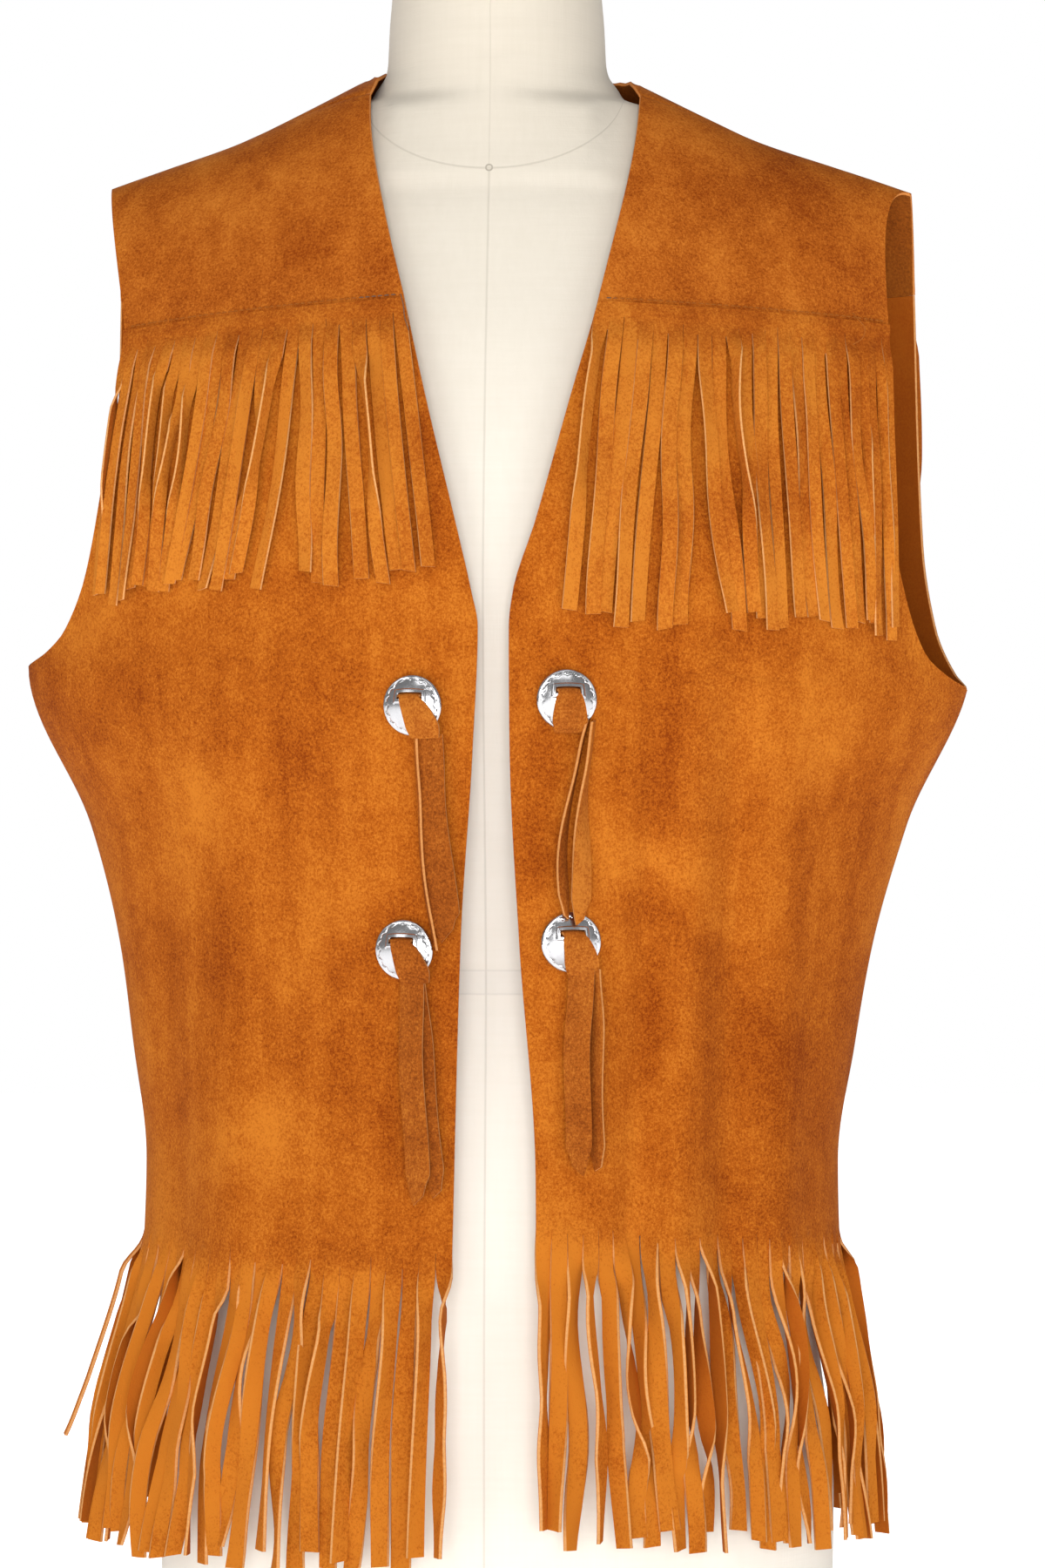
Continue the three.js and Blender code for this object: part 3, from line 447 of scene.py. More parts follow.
def yoke_frame(side, across, up):
    """A front yoke's point and way out: up runs from the yoke's seam to the shoulder seam."""
    own = SIDES[side]
    seam = seam_height(side, across) + SEAM / 2
    lower = front_place(side, across, seam)
    upper = own["sign"] * lerp(own["neck"], own["tip"], across)
    bulge = own["sign"] * lerp(*YOKE_BULGE[side], across) * np.sin(np.pi * up)
    top = own["lean"] * (1 - across) ** 2 + SEAM_LEAN_GAP
    return shoulder_frame(lerp(lower, upper, up) + bulge, lerp(lean_at(lower, seam), top, up))


def back_yoke_frame(across, up):
    """The back yoke's: up runs from its lower seam to the neckline or the shoulder seams."""
    pick = lambda name: np.where(across < 0, SIDES["right"][name], SIDES["left"][name])
    far = np.abs(across)
    along = np.clip((far - NECK_SHARE) / (1 - NECK_SHARE), 0, 1)
    u = np.minimum(far / NECK_SHARE, 1)
    beside = pick("neck") * u
    on_neck = lerp(neckline_lean(beside), pick("lean"), smooth((u - NECK_TURN) / (1 - NECK_TURN)))
    upper = pick("sign") * np.where(u < 1, beside, lerp(pick("neck"), pick("tip"), along))
    top = np.where(u < 1, on_neck, pick("lean") * (1 - along) ** 2) - SEAM_LEAN_GAP
    seam = BACK_SEAM + SEAM / 2 + 0 * across
    lower = back_place(across, seam)
    return shoulder_frame(lerp(lower, upper, up), lerp(-lean_at(lower, seam), top, up))


def frames(surface, turn, across, z, ends):
    """A surface's points, the way across, the way out and the run across per unit."""
    small = 1e-3
    ahead = np.minimum(across + small, ends[1])
    behind = np.maximum(across - small, ends[0])
    side = surface(ahead, z) - surface(behind, z)
    above = surface(across, z + 0.2) - surface(across, z - 0.2)
    out = unit(np.cross(side, above)) * turn
    return surface(across, z), unit(side), out, length_of(side) / (ahead - behind)


# ---------------------------------------------------------------- meshes
def mesh_piece(name, points, faces, marks=None, sharp=38):
    """A mesh object from points in millimetres. marks are numbers kept on its points."""
    mesh = bpy.data.meshes.new(name)
    mesh.from_pydata((np.asarray(points) * MM).tolist(), [], [list(face) for face in faces])
    for mark, values in (marks or {}).items():
        kept = mesh.attributes.new(mark, "FLOAT", "POINT")
        kept.data.foreach_set("value", np.asarray(values, np.float32))
    mesh.validate()
    mesh.shade_smooth()
    mesh.set_sharp_from_angle(angle=math.radians(sharp))
    piece = bpy.data.objects.new(name, mesh)
    bpy.context.scene.collection.objects.link(piece)
    return piece


def thicken(outer, inner, quads):
    """A closed wall from a sheet's outer and inner points and its four-sided faces."""
    base = len(outer)
    ends = np.stack([quads, np.roll(quads, -1, 1)], -1).reshape(-1, 2)
    codes = ends[:, 0] * base + ends[:, 1]
    border = ends[~np.isin(codes, ends[:, 1] * base + ends[:, 0])]
    sides = np.stack([border[:, 1], border[:, 0], border[:, 0] + base, border[:, 1] + base], -1)
    points = np.concatenate([outer, inner])
    faces = np.concatenate([quads, quads[:, ::-1] + base, sides])
    a, b, c = (points[quads[:, k]] for k in range(3))
    away = (outer - inner)[quads[:, 0]]
    if (np.cross(b - a, c - a) * away).sum() < 0:
        faces = faces[:, ::-1]
    depth = np.repeat([0.0, 1.0], base)
    return points, faces, depth


def ring_faces(rings, sides):
    """Four-sided faces between rings of points that follow each other."""
    faces = []
    for j in range(rings - 1):
        for i in range(sides):
            a, b = j * sides + i, j * sides + (i + 1) % sides
            faces.append((a, b, b + sides, a + sides))
    return faces


def closed_rings(rings, sides):
    """The faces between rings, and the two flat faces that close the first and the last one."""
    last = (rings - 1) * sides
    return [*ring_faces(rings, sides), list(range(sides))[::-1], list(range(last, last + sides))]


def grid_quads(rows, columns):
    corner = (np.arange(rows - 1)[:, None] * columns + np.arange(columns - 1)).ravel()
    return np.stack([corner, corner + 1, corner + 1 + columns, corner + columns], -1)


def grain(point, size, salt):
    """Slow waves over a place, from -1 to 1, for the slight unevenness of hide."""
    x, y, z = (point[..., k] / size for k in range(3))
    first = np.sin(x * 1.7 + 2.1 * np.sin(z * 0.9 + salt) + salt)
    second = np.sin(z * 1.3 + 1.7 * np.sin((x + y) * 1.1 + 2 * salt) + 3 * salt)
    return 0.5 * (first + second)


# Where along a strand its points lie, closer together near its slit.
STRAND_STEPS = np.concatenate([[0.015, 0.03, 0.05, 0.08, 0.11, 0.14], np.linspace(0.18, 1, 20)])


def fringed_hide(
    name, surface, turn, ends, head, root, up, measures, strands, length, salt,
    relief=None, keep=None, lean=None, loose=0,
):
    """A sheet of hide whose lower part is cut into strands.

    surface(across, z) is where it lies, head(across) and root(across) bound its uncut part, and up
    lists that part's rows from 0 at the root to 1 at the head. length(i) is a strand's own length.
    """
    m = measures
    first, last = ends
    pitch = (last - first) / (strands - 1 + m["share"])
    number = np.arange(strands)
    middle = first + pitch * (number + m["share"] / 2)
    beside = np.array([-1.0, 0.0, 1.0])
    across = (middle[:, None] + beside * pitch * m["share"] / 2).ravel()

    # the uncut part
    rise = np.asarray(up)[::-1, None]
    z = lerp(root(across), head(across), rise)
    spread = across + 0 * z
    point, _, out, _ = frames(surface, turn, spread, z, ends)
    away = lerp(m["out"], m["out"] + m["tuck"], smooth(rise * 1.5 - 0.5)) + 0 * z
    if relief is not None:
        away = away + relief(spread, z, point)
    uncut_outer = point + out * away[..., None]
    uncut_inner = point + out * (m["out"] - m["thick"] + 0 * away)[..., None]

    # the strands: steps run down each of them
    steps = STRAND_STEPS[:, None]
    place_along = (middle - first) / (last - first)
    sway = m["lock"] * np.sin(number * 0.78 + salt) + 0.8 * uneven(number, salt)
    sway = sway + m["stray"] * uneven(number, salt + 0.37)
    if lean is not None:
        sway = sway + lean(middle)
    sway = sway * steps**1.45
    phase = 6.3 * uneven(number, salt + 5)
    bends = 2.2 + 1.2 * uneven(number, salt + 6)
    wave = lerp(*m["wave"], place_along) * (1 + 0.6 * uneven(number, salt + 4))
    sway = sway + wave * smooth(3 * steps) * np.sin(np.pi * bends * steps + phase)
    apart = (number == strands - 1) * (loose > 0)
    z = root(middle) - steps * length(number) * np.where(apart, LOOSE_SHARE, 1)
    run = frames(surface, turn, middle + 0 * z, z, ends)[3]
    room = pitch * m["share"] / 2
    centre = np.clip(middle + sway / run, first + room, last - room)
    point, side, out, _ = frames(surface, turn, centre, z, ends)
    chance = 0.5 + 0.5 * uneven(number, salt + 8)
    turned = np.where(chance < m["turned"], m["turn"] * np.sign(uneven(number, salt + 9)), 0)
    start = 0.02 + 0.3 * (0.5 + 0.5 * uneven(number, salt + 11)) ** 2
    twist = turned * smooth((steps - start) / (0.12 + 0.25 * chance))
    twist = twist * (1 - 0.8 * smooth((steps - 0.5 - 0.3 * chance) * 4))
    twist = twist + m["twist"] * smooth(4 * steps) * np.sin(np.pi * (bends - 0.6) * steps + 2 * phase)
    twist = twist + 0.6 * m["twist"] * smooth(4 * steps) * np.sign(uneven(number, salt + 10))
    left, right = (surface(across[k::3], root(across[k::3])) for k in (0, 2))
    swell = m["swell"] + 0.08 * uneven(number, salt + 12)
    wide = length_of(right - left) * (1 + smooth(2 * steps) * swell)
    free = smooth(steps * 9)
    off = m["out"] + free * (m["stand"] + (number % 2) * m["layer"]) + 0.42 * wide * np.abs(np.sin(twist))
    off = off + m["lift"] * free * (1 + np.sin(np.pi * bends * steps + 1.3 * phase))
    off = off + loose * (0.75 * smooth(4.5 * steps) + 0.5 * steps**5) * apart
    twist = np.where(apart, 0.15, twist)
    curl = 0.35 * np.sin(phase) * free
    tip = (steps > 0.999) * 0.6 * uneven(number, salt + 13)
    cos, sin = np.cos(twist)[..., None], np.sin(twist)[..., None]
    wideways, normal = side * cos + out * sin, out * cos - side * sin
    cut_outer = np.empty((len(steps), strands, 3, 3))
    cut_inner = np.empty_like(cut_outer)
    for k, at in enumerate(beside):
        place = point + out * off[..., None] + wideways * (wide * at / 2)[..., None]
        place = place + normal * (curl * (1 - at * at))[..., None]
        place[..., 2] += tip * at
        cut_outer[:, :, k] = place
        cut_inner[:, :, k] = place - normal * m["thick"] + wideways * (m["bevel"] * at * free)[..., None]

    columns = 3 * strands
    outer = np.concatenate([uncut_outer, cut_outer.reshape(len(steps), columns, 3)])
    inner = np.concatenate([uncut_inner, cut_inner.reshape(len(steps), columns, 3)])
    if keep is not None:
        outer, inner = keep(outer), keep(inner)
    rows = len(outer)
    quads = grid_quads(rows, columns)
    row, column = quads[:, 0] // columns, quads[:, 0] % columns
    slit = len(uncut_outer) - 1 + np.round(m["slit"] * (1 + uneven(number, salt + 14))).astype(int)
    shut = (column % 3 != 2) | (row < slit[column // 3])
    points, faces, depth = thicken(outer.reshape(-1, 3), inner.reshape(-1, 3), quads[shut])
    own = np.tile(np.repeat(uneven(number, salt + 15), 3), rows)
    below = np.concatenate([np.zeros(len(uncut_outer)), steps[:, 0]])
    tone = np.tile(own * np.repeat(smooth(8 * below), columns), 2)
    along = np.tile(np.repeat(below, columns), 2)
    return mesh_piece(name, points, faces, {"depth": depth, "tone": tone, "along": along})


def hide_wall(name, frame_of, across, up, relief):
    """A closed wall of hide over a grid of places; relief raises its outer face."""
    spread, rise = np.meshgrid(across, up)
    point, out = frame_of(spread, rise)
    outer = point + out * relief(spread, rise, point)[..., None]
    inner = point - out * SUEDE
    quads = grid_quads(len(up), len(across))
    points, faces, depth = thicken(outer.reshape(-1, 3), inner.reshape(-1, 3), quads)
    return mesh_piece(name, points, faces, {"depth": depth, "tone": 0 * depth, "along": 0 * depth})


def seam_dip(distance, deep=0.6, wide=1.6):
    """How far a sewn edge rolls in, at a distance from it."""
    return -deep * np.exp(-((distance / wide) ** 2))


def on_face(face):
    def keep(points):
        points = points.copy()
        points[..., 1] = face * np.maximum(face * points[..., 1], SEAM / 2)
        return points

    return keep


# Heights of a panel's rows above the armhole's corner, closest together near it.
CORNER_ROWS = np.array([1, 2, 3, 4.5, 6, 8, 10.5, 13.5, 17, 21, 26, 31, 37, 43, 50, 57, 65, 73, 82, 92])
FRONT_WIDTH = 200  # along the cloth from the front edge to the side seam
BACK_HALF_WIDTH = 210


def panel_rows(foot, corner, head):
    """Rows of a lower panel as shares of its height."""
    below = np.linspace(foot, corner, 58)
    above = corner + CORNER_ROWS
    rest = np.linspace(above[-1] + 9, head, 9)
    return (np.concatenate([below, above, rest]) - foot) / (head - foot)


def panel_relief(width, armpit, depth, size, salt):
    """A lower panel's slight unevenness, and its rolled-in side seam below the armpit."""
    def relief(across, z, point):
        beside = width * (1 - np.abs(across))
        at_side = np.where(z < armpit, seam_dip(beside, 0.5, 2.0), 0)
        return at_side + depth * grain(point, size, salt) * smooth(beside / 12)

    return relief


def uneven_lengths(length, share, salt):
    """Each strand's own length by its number."""
    return lambda number: length * (1 + share * uneven(number, salt))


def below_back_yoke(across):
    """The height at which the pieces under the back yoke end."""
    return BACK_SEAM - SEAM / 2 + 0 * across


def front_panel(side):
    own = SIDES[side]
    root = lambda across: hem_height(side, across) - SEAM - HEM_FRINGE["strip"]
    head = lambda across: seam_height(side, across) - SEAM / 2
    surface = lambda across, z: body_point(-1, front_place(side, across, z), z)
    relief = panel_relief(FRONT_WIDTH, own["armpit"], 0.35, 34, own["salt"])
    length = uneven_lengths(own["hem_fringe"] - HEM_FRINGE["strip"], 0.04, 7)
    measures = {**HEM_FRINGE, "wave": LEFT_HEM_WAVE} if side == "left" else HEM_FRINGE
    rows = panel_rows(own["hem_side"] - 3, own["armpit"], own["seam_side"])
    return fringed_hide(
        f"hide_front_{side}", surface, own["sign"], (0, 1), head, root, rows, measures,
        HEM_STRANDS[side], length, own["salt"] + 3, relief=relief, keep=on_face(-1), loose=own["loose"],
    )


def back_panel():
    root = lambda across: back_hem(across) - SEAM - HEM_FRINGE["strip"]
    relief = panel_relief(BACK_HALF_WIDTH, BACK_ARMPIT, 0.4, 37, 4.2)
    length = uneven_lengths(BACK_HEM_FRINGE - HEM_FRINGE["strip"], 0.045, 9)
    rows = panel_rows(BACK_HEM - 5, BACK_ARMPIT, BACK_SEAM)
    return fringed_hide(
        "hide_back", back_point, -1, (-1, 1), below_back_yoke, root, rows, HEM_FRINGE,
        HEM_STRANDS["back"], length, 2.9, relief=relief, keep=on_face(1),
    )


def hanging(face, place, foot, fan, length):
    """A fringe's surface: on the cloth down to its strip's foot, then straight down, a little fanned."""
    def surface(across, z):
        below = foot(across) - z
        fallen = place(across, foot(across)) + fan(across) * below / length
        return body_point(face, np.where(below > 0, fallen, place(across, z)), z)

    return surface


STRIP_ROWS = np.linspace(0, 1, 9)


def yoke_fringe(side):
    own = SIDES[side]
    head = lambda across: seam_height(side, across) - SEAM / 2
    foot = lambda across: head(across) - YOKE_FRINGE["strip"]
    fan = lambda across: lerp(-own["fan_front"], own["fan_side"], across)
    place = lambda across, z: front_place(side, across, z)
    surface = hanging(-1, place, foot, lambda across: own["sign"] * fan(across), own["fringe"])
    measures = {**YOKE_FRINGE, "slit": RIGHT_SLIT} if side == "right" else YOKE_FRINGE
    return fringed_hide(
        f"hide_yoke_fringe_{side}", surface, own["sign"], (0, 1), head, foot, STRIP_ROWS, measures,
        YOKE_STRANDS[side], uneven_lengths(own["fringe"], 0.04, 3), own["salt"],
        relief=lambda across, z, point: 0.15 * grain(point, 9, own["salt"]),
        lean=lambda across: curve(LEAN, "across", side)(across) - fan(across),
    )


def back_yoke_fringe():
    foot = lambda across: below_back_yoke(across) - YOKE_FRINGE["strip"]
    surface = hanging(1, back_place, foot, lambda across: BACK_FAN * across, BACK_FRINGE_LENGTH)
    return fringed_hide(
        "hide_yoke_fringe_back", surface, -1, (-0.965, 0.965), below_back_yoke, foot, STRIP_ROWS,
        YOKE_FRINGE, YOKE_STRANDS["back"], uneven_lengths(BACK_FRINGE_LENGTH, 0.045, 5), 1.3,
        relief=lambda across, z, point: 0.15 * grain(point, 9, 1.3),
    )


YOKE_RISE = 122  # length of a front yoke from its seam to the shoulder seam
BACK_YOKE_RISE = 120
YOKE_UP = np.concatenate([
    [0, 0.004, 0.01, 0.018, 0.028, 0.04, 0.055, 0.075],
    np.linspace(0.1, 0.96, 40),
    [0.975, 0.985, 0.993, 1],
])
STITCH_LINE = 1.2  # the stitches' height above a yoke's lower edge


def yoke_relief(rise, far_seam, salt):
    def relief(across, up, point):
        above = up * rise
        proud = 0.3 * np.exp(-((above / 6.0) ** 2)) - 0.2 * np.exp(-(((above - STITCH_LINE) / 0.8) ** 2))
        top = np.where(far_seam(across), seam_dip((1 - up) * rise), 0)
        return proud + top + 0.35 * grain(point, 31, salt)

    return relief


def front_yoke(side):
    relief = yoke_relief(YOKE_RISE, lambda across: across >= 0, SIDES[side]["salt"] + 1)
    place = lambda across, up: yoke_frame(side, across, up)
    return hide_wall(f"hide_yoke_{side}", place, np.linspace(0, 1, 49), YOKE_UP, relief)


def back_yoke():
    relief = yoke_relief(BACK_YOKE_RISE, lambda across: np.abs(across) > NECK_SHARE, 2.4)
    half = np.concatenate([np.linspace(0, NECK_SHARE, 26), np.linspace(NECK_SHARE, 1, 34)[1:]])
    across = np.concatenate([-half[:0:-1], half])
    return hide_wall("hide_yoke_back", back_yoke_frame, across, YOKE_UP, relief)


# ---------------------------------------------------------------- stitching
def tube(path, out, radius, sides=6):
    """Points and faces of a round thread along a path of (steps, 3) points."""
    along = unit(np.gradient(path, axis=0))
    across = unit(np.cross(along, out))
    lift = np.cross(across, along)
    angle = 2 * np.pi * np.arange(sides) / sides
    ring = across[:, None] * np.cos(angle)[:, None] + lift[:, None] * np.sin(angle)[:, None]
    points = (path[:, None] + ring * np.asarray(radius)[:, None, None]).reshape(-1, 3)
    return points, ring_faces(len(path), sides)


def gathered(parts):
    """Many small meshes as one: a list of (points, faces) joined."""
    points, faces, base = [], [], 0
    for some, own in parts:
        points.append(some)
        faces.extend([[base + corner for corner in face] for face in own])
        base += len(some)
    return np.concatenate(points), faces


def stitch_row(name, frame_of, across, up, pitch, thread, ends=()):
    """Stitches along a seam line on the cloth, and loose thread ends as paths of their own."""
    line, out = frame_of(across, up + 0 * across)
    run = np.concatenate([[0], np.cumsum(length_of(np.diff(line, axis=0)))])
    places = np.arange(pitch, run[-1] - pitch / 2, pitch)
    parts = []
    for k, at in enumerate(places):
        shift = 0.12 * pitch * float(uneven(k, 2.2))
        spans = at + shift + pitch * np.linspace(-0.36, 0.36, 5)
        path = np.stack([np.interp(spans, run, line[:, c]) for c in range(3)], -1)
        rise = np.stack([np.interp(spans, run, out[:, c]) for c in range(3)], -1)
        path = path + rise * (0.75 + 0.42 * (1 - np.linspace(-1, 1, 5)[:, None] ** 2))
        parts.append(tube(path, rise, thread * np.array([0.45, 0.9, 1, 0.9, 0.45])))
    for path in ends:
        path = np.asarray(path, float)
        fine = np.linspace(0, len(path) - 1, 4 * len(path))
        path = np.stack([np.interp(fine, np.arange(len(path)), path[:, c]) for c in range(3)], -1)
        for _ in range(3):
            path[1:-1] = (path[:-2] + path[2:] + 2 * path[1:-1]) / 4
        parts.append(tube(path, np.array([0.3, -1.0, 0.1]) + 0 * path, 0.75 * thread + 0 * path[:, 0]))
    points, faces = gathered(parts)
    return mesh_piece(name, points, faces)


# ---------------------------------------------------------------- conchos and ties
def front_frame(x, z):
    """The front's point, the way across, the way up and out, at a place in millimetres."""
    surface = lambda across, up: body_point(-1, across * 100, up)
    point, side, out, _ = frames(surface, 1, np.asarray(x, float) / 100, np.asarray(z, float), (-2, 2))
    return point, side, out


def concho_frame(tie):
    """The way across, up and out of a concho, and its middle."""
    point, _, out = front_frame(SIDES[tie["side"]]["sign"] * tie["x"], tie["z"])
    turned = np.array(Matrix.Rotation(tie["turn"], 3, "Z") @ Vector(out))
    up = unit(np.array([0, 0, 1.0]) - turned * turned[2])
    across = np.cross(up, turned)
    raised = max(CONCHO["radius"] * abs(math.sin(tie["turn"])) - CONCHO["hollow"], 0)
    return across, up, turned, point + out * (CONCHO["clear"] + raised)


def concho(tie):
    """A domed disc with two slots: a beaded rim, a scalloped line and a frame round the upper slot."""
    c = CONCHO
    slot_x = c["slot_wide"] / 2 / c["radius"]
    slot_low = (c["slot_out"] - c["slot_high"] / 2) / c["radius"]
    slot_high = (c["slot_out"] + c["slot_high"] / 2) / c["radius"]
    us = np.concatenate([np.linspace(0, slot_x, 15), np.linspace(slot_x, 1, 19)[1:]])
    slot_rows = np.linspace(slot_low, slot_high, 7)[1:]
    vs = np.concatenate([np.linspace(0, slot_low, 8), slot_rows, np.linspace(slot_high, 1, 20)[1:]])
    us, vs = (np.concatenate([-half[:0:-1], half]) for half in (us, vs))
    u, v = np.meshgrid(us, vs)
    x = u * np.sqrt(1 - v * v / 2)
    y = v * np.sqrt(1 - u * u / 2)
    r = np.hypot(x, y)
    angle = np.arctan2(y, x)
    height = c["dome"] * (1 - r * r) + c["thick"]
    scallop = 0.8 + 0.035 * np.abs(np.sin(angle * c["scallops"])) * 2
    height = height - 0.3 * np.exp(-(((r - scallop) / 0.02) ** 2))
    height = height + 0.25 * np.exp(-(((r - 0.955) / 0.03) ** 2)) - 0.2 * smooth((r - 0.975) / 0.025)
    off_slot_v = np.abs(v - (slot_low + slot_high) / 2) - (slot_high - slot_low) / 2
    off_slot = np.maximum(np.abs(u) - slot_x, off_slot_v)
    height = height + 0.6 * smooth((off_slot + 0.005) / 0.02) * (1 - smooth((off_slot - 0.12) / 0.035))
    outer = np.stack([x * c["radius"], y * c["radius"], height], -1).reshape(-1, 3)
    inner = c["radius"] - c["rim"]
    under = np.stack([x * inner, y * inner, c["dome"] * (1 - r * r)], -1).reshape(-1, 3)
    quads = grid_quads(len(vs), len(us))
    middle_u = (u.ravel()[quads[:, 0]] + u.ravel()[quads[:, 2]]) / 2
    middle_v = (v.ravel()[quads[:, 0]] + v.ravel()[quads[:, 2]]) / 2
    slot_end = np.where(middle_v > 0, slot_x, slot_x / 2)
    in_slot = (np.abs(middle_u) < slot_end) & (np.abs(middle_v) > slot_low) & (np.abs(middle_v) < slot_high)
    points, faces, depth = thicken(outer, under, quads[~in_slot])
    *basis, seat = concho_frame(tie)
    points = points @ np.stack(basis) + seat
    return mesh_piece(f"silver_concho_{tie['name']}", points, faces, {"depth": depth}, sharp=30)


def ribbon(middle, side, out, wide, thick, crown=0.0, slant=None):
    """A flat thong: a wall over rows of five places across, bent by crown."""
    places = np.linspace(-1, 1, 5)
    spread = side[:, None] * (places[:, None] * wide[:, None, None] / 2)
    bow = out[:, None] * (crown * (1 - places[:, None] ** 2))
    face = middle[:, None] + spread + bow + out[:, None] * thick / 2
    if slant is not None:
        face[..., 2] += slant[:, None] * places * wide[:, None] / 2
    under = face - out[:, None] * thick
    return thicken(face.reshape(-1, 3), under.reshape(-1, 3), grid_quads(len(middle), 5))


def tie(tie_row):
    """A flap through the concho's upper slot, and the two tails that hang from under it."""
    across, up, turned, seat = concho_frame(tie_row)
    steps = np.linspace(0, 1, 34)
    knots = np.linspace(0, 1, len(TIE_FLAP))
    rows = [{**row, "at": at} for row, at in zip(TIE_FLAP, knots)]
    y, z, lean, wide, slip = (curve(rows, "at", name)(steps) for name in ("y", "z", "lean", "wide", "slip"))
    aside = slip * tie_row["aside"]
    middle = seat + aside[:, None] * across + y[:, None] * up + z[:, None] * turned
    out = np.sin(lean)[:, None] * up + np.cos(lean)[:, None] * turned
    wide = wide * (1 - 0.12 * np.exp(-(((steps - 0.35) / 0.12) ** 2)))
    parts = [ribbon(middle, across + 0 * middle, out, wide, TIE_HIDE, 0.5)]
    sign = SIDES[tie_row["side"]]["sign"]
    tails = [row for row in TAILS if row["tie"] == tie_row["name"]]
    for tail in tails:
        t = np.linspace(0, 1, 44)
        drop = lerp(tail["top"], tail["tip"], t)
        way = np.array([tail["x_top"], tail["x_mid"], tail["x_tip"]])
        x = way[0] * (1 - t) ** 2 + (4 * way[1] - way[0] - way[2]) * t * (1 - t) + way[2] * t**2
        x = sign * tie_row["x"] + x + 0.7 * np.sin(np.pi * 2.3 * t + 2 * tail["layer"]) * smooth(3 * t)
        point, side, away = front_frame(x, tie_row["z"] - drop)
        twist = lerp(tail["turn_top"], tail["turn_low"], smooth((t - 0.2) * 1.5))
        stand = curve(TIE_TAIL, "share", "out")(t) - 1.2 + tail["layer"] * TIE_LAYER
        edge_on = tail["wide"] / 2 * np.abs(np.sin(twist))
        stand = np.maximum(stand, 1 + edge_on + 0.6 * tail["layer"] * TIE_LAYER)
        stand = lerp(3.2 + tail["layer"] * 1.5, stand, smooth(4 * t))
        hang = point + away * stand[:, None]
        turn_side = side * np.cos(twist)[:, None] + away * np.sin(twist)[:, None]
        turn_out = away * np.cos(twist)[:, None] - side * np.sin(twist)[:, None]
        taper = np.where(t > 0.88, 1 - (0.9 if tail["slant"] == 0 else 0.6) * (t - 0.88) / 0.12, 1)
        slant = tail["slant"] * smooth((t - 0.88) * 9)
        parts.append(ribbon(hang, turn_side, turn_out, tail["wide"] * taper, TIE_HIDE, 0.25, slant))
    points, faces = gathered([(p, f) for p, f, _ in parts])
    depth = np.concatenate([d for _, _, d in parts])
    tones = [0.0, *(tail["tone"] for tail in tails)]
    tone = np.concatenate([np.full(len(d), 3 * own) for own, (_, _, d) in zip(tones, parts)])
    marks = {"depth": depth, "tone": tone, "along": 0.5 + 0 * depth}
    return mesh_piece(f"hide_tie_{tie_row['name']}", points, faces, marks)


# ---------------------------------------------------------------- the dress form
def form_rows():
    """The form's level sections from its lower edge up; those at the shoulders follow the hide above."""
    shoulder = []
    for half in (FORM_WIDEST, 168, 152, 132, 112, 94):
        z = float(ridge_high(half)) - SUEDE - SHOULDER_GAP
        out = (half - FORM_NECK_FOOT) / (FORM_WIDEST - FORM_NECK_FOOT)
        front, back = lerp(58, 66.6, out), lerp(67, 79, out)
        shoulder.append(dict(z=z, half=half, front=front, back=back, square=1.6))
    return [*FORM_SECTIONS, *shoulder, *NECK_SECTIONS]


def form_body():
    rows = form_rows()
    half, front, back, square = (curve(rows, "z", name) for name in ("half", "front", "back", "square"))
    low, high = CLOSE_ROWS
    z = np.unique(np.concatenate([
        np.linspace(rows[0]["z"], low, 90),
        np.linspace(low, high, 60),
        np.linspace(high, rows[-1]["z"], 22),
    ]))
    angle = 2 * np.pi * np.arange(120) / 120
    z, angle = np.meshgrid(z, angle, indexing="ij")
    cos, sin = np.cos(angle), np.sin(angle)
    x = half(z) * np.sign(cos) * np.abs(cos) ** (2 / square(z))
    own = np.where(sin < 0, front(z), back(z)) * np.abs(sin) ** (2 / square(z))
    beside = np.sign(x) * np.minimum(np.abs(x) + 1.5, FORM_WIDEST)
    lift = z + SUEDE + SHOULDER_GAP
    front_hide, back_hide = (np.abs(body_point(face, beside, lift)[..., 1]) for face in (-1, 1))
    hide = np.where(sin < 0, front_hide, back_hide)
    reach = np.where(z > NECK_ABOVE, own, np.minimum(own, FORM_SHARE * hide))
    points = np.stack([x, np.sign(sin) * reach, z], -1)
    tuck = lambda ring, inset, rise: ring * [inset, inset, 1] + [0, 0, rise]
    points = np.concatenate([tuck(points[:1], 0.965, -2.2), points, tuck(points[-1:], 0.97, 1.0)])
    faces = closed_rings(*points.shape[:2])
    return mesh_piece("linen_form_body", points.reshape(-1, 3), faces, sharp=60)


def lathe(name, profile, sides=96, middle=(0, 0), squash=(1, 1)):
    """A turned piece from (radius, height) rows."""
    angle = 2 * np.pi * np.arange(sides) / sides
    rings = []
    for r, z in profile:
        x = middle[0] + r * squash[0] * np.cos(angle)
        y = middle[1] + r * squash[1] * np.sin(angle)
        rings.append(np.stack([x, y, z + 0 * angle], -1))
    return mesh_piece(name, np.concatenate(rings), closed_rings(len(rings), sides), sharp=50)


def rounded(corner, radius, way_in, way_out, steps=5):
    """Points of a rounded corner of a turned piece's profile."""
    a = np.arange(steps + 1) / steps * np.pi / 2
    start, end = np.array(way_in, float), np.array(way_out, float)
    centre = np.array(corner, float) - radius * start + radius * end
    return [tuple(centre + radius * (start * np.sin(t) - end * np.cos(t))) for t in a]


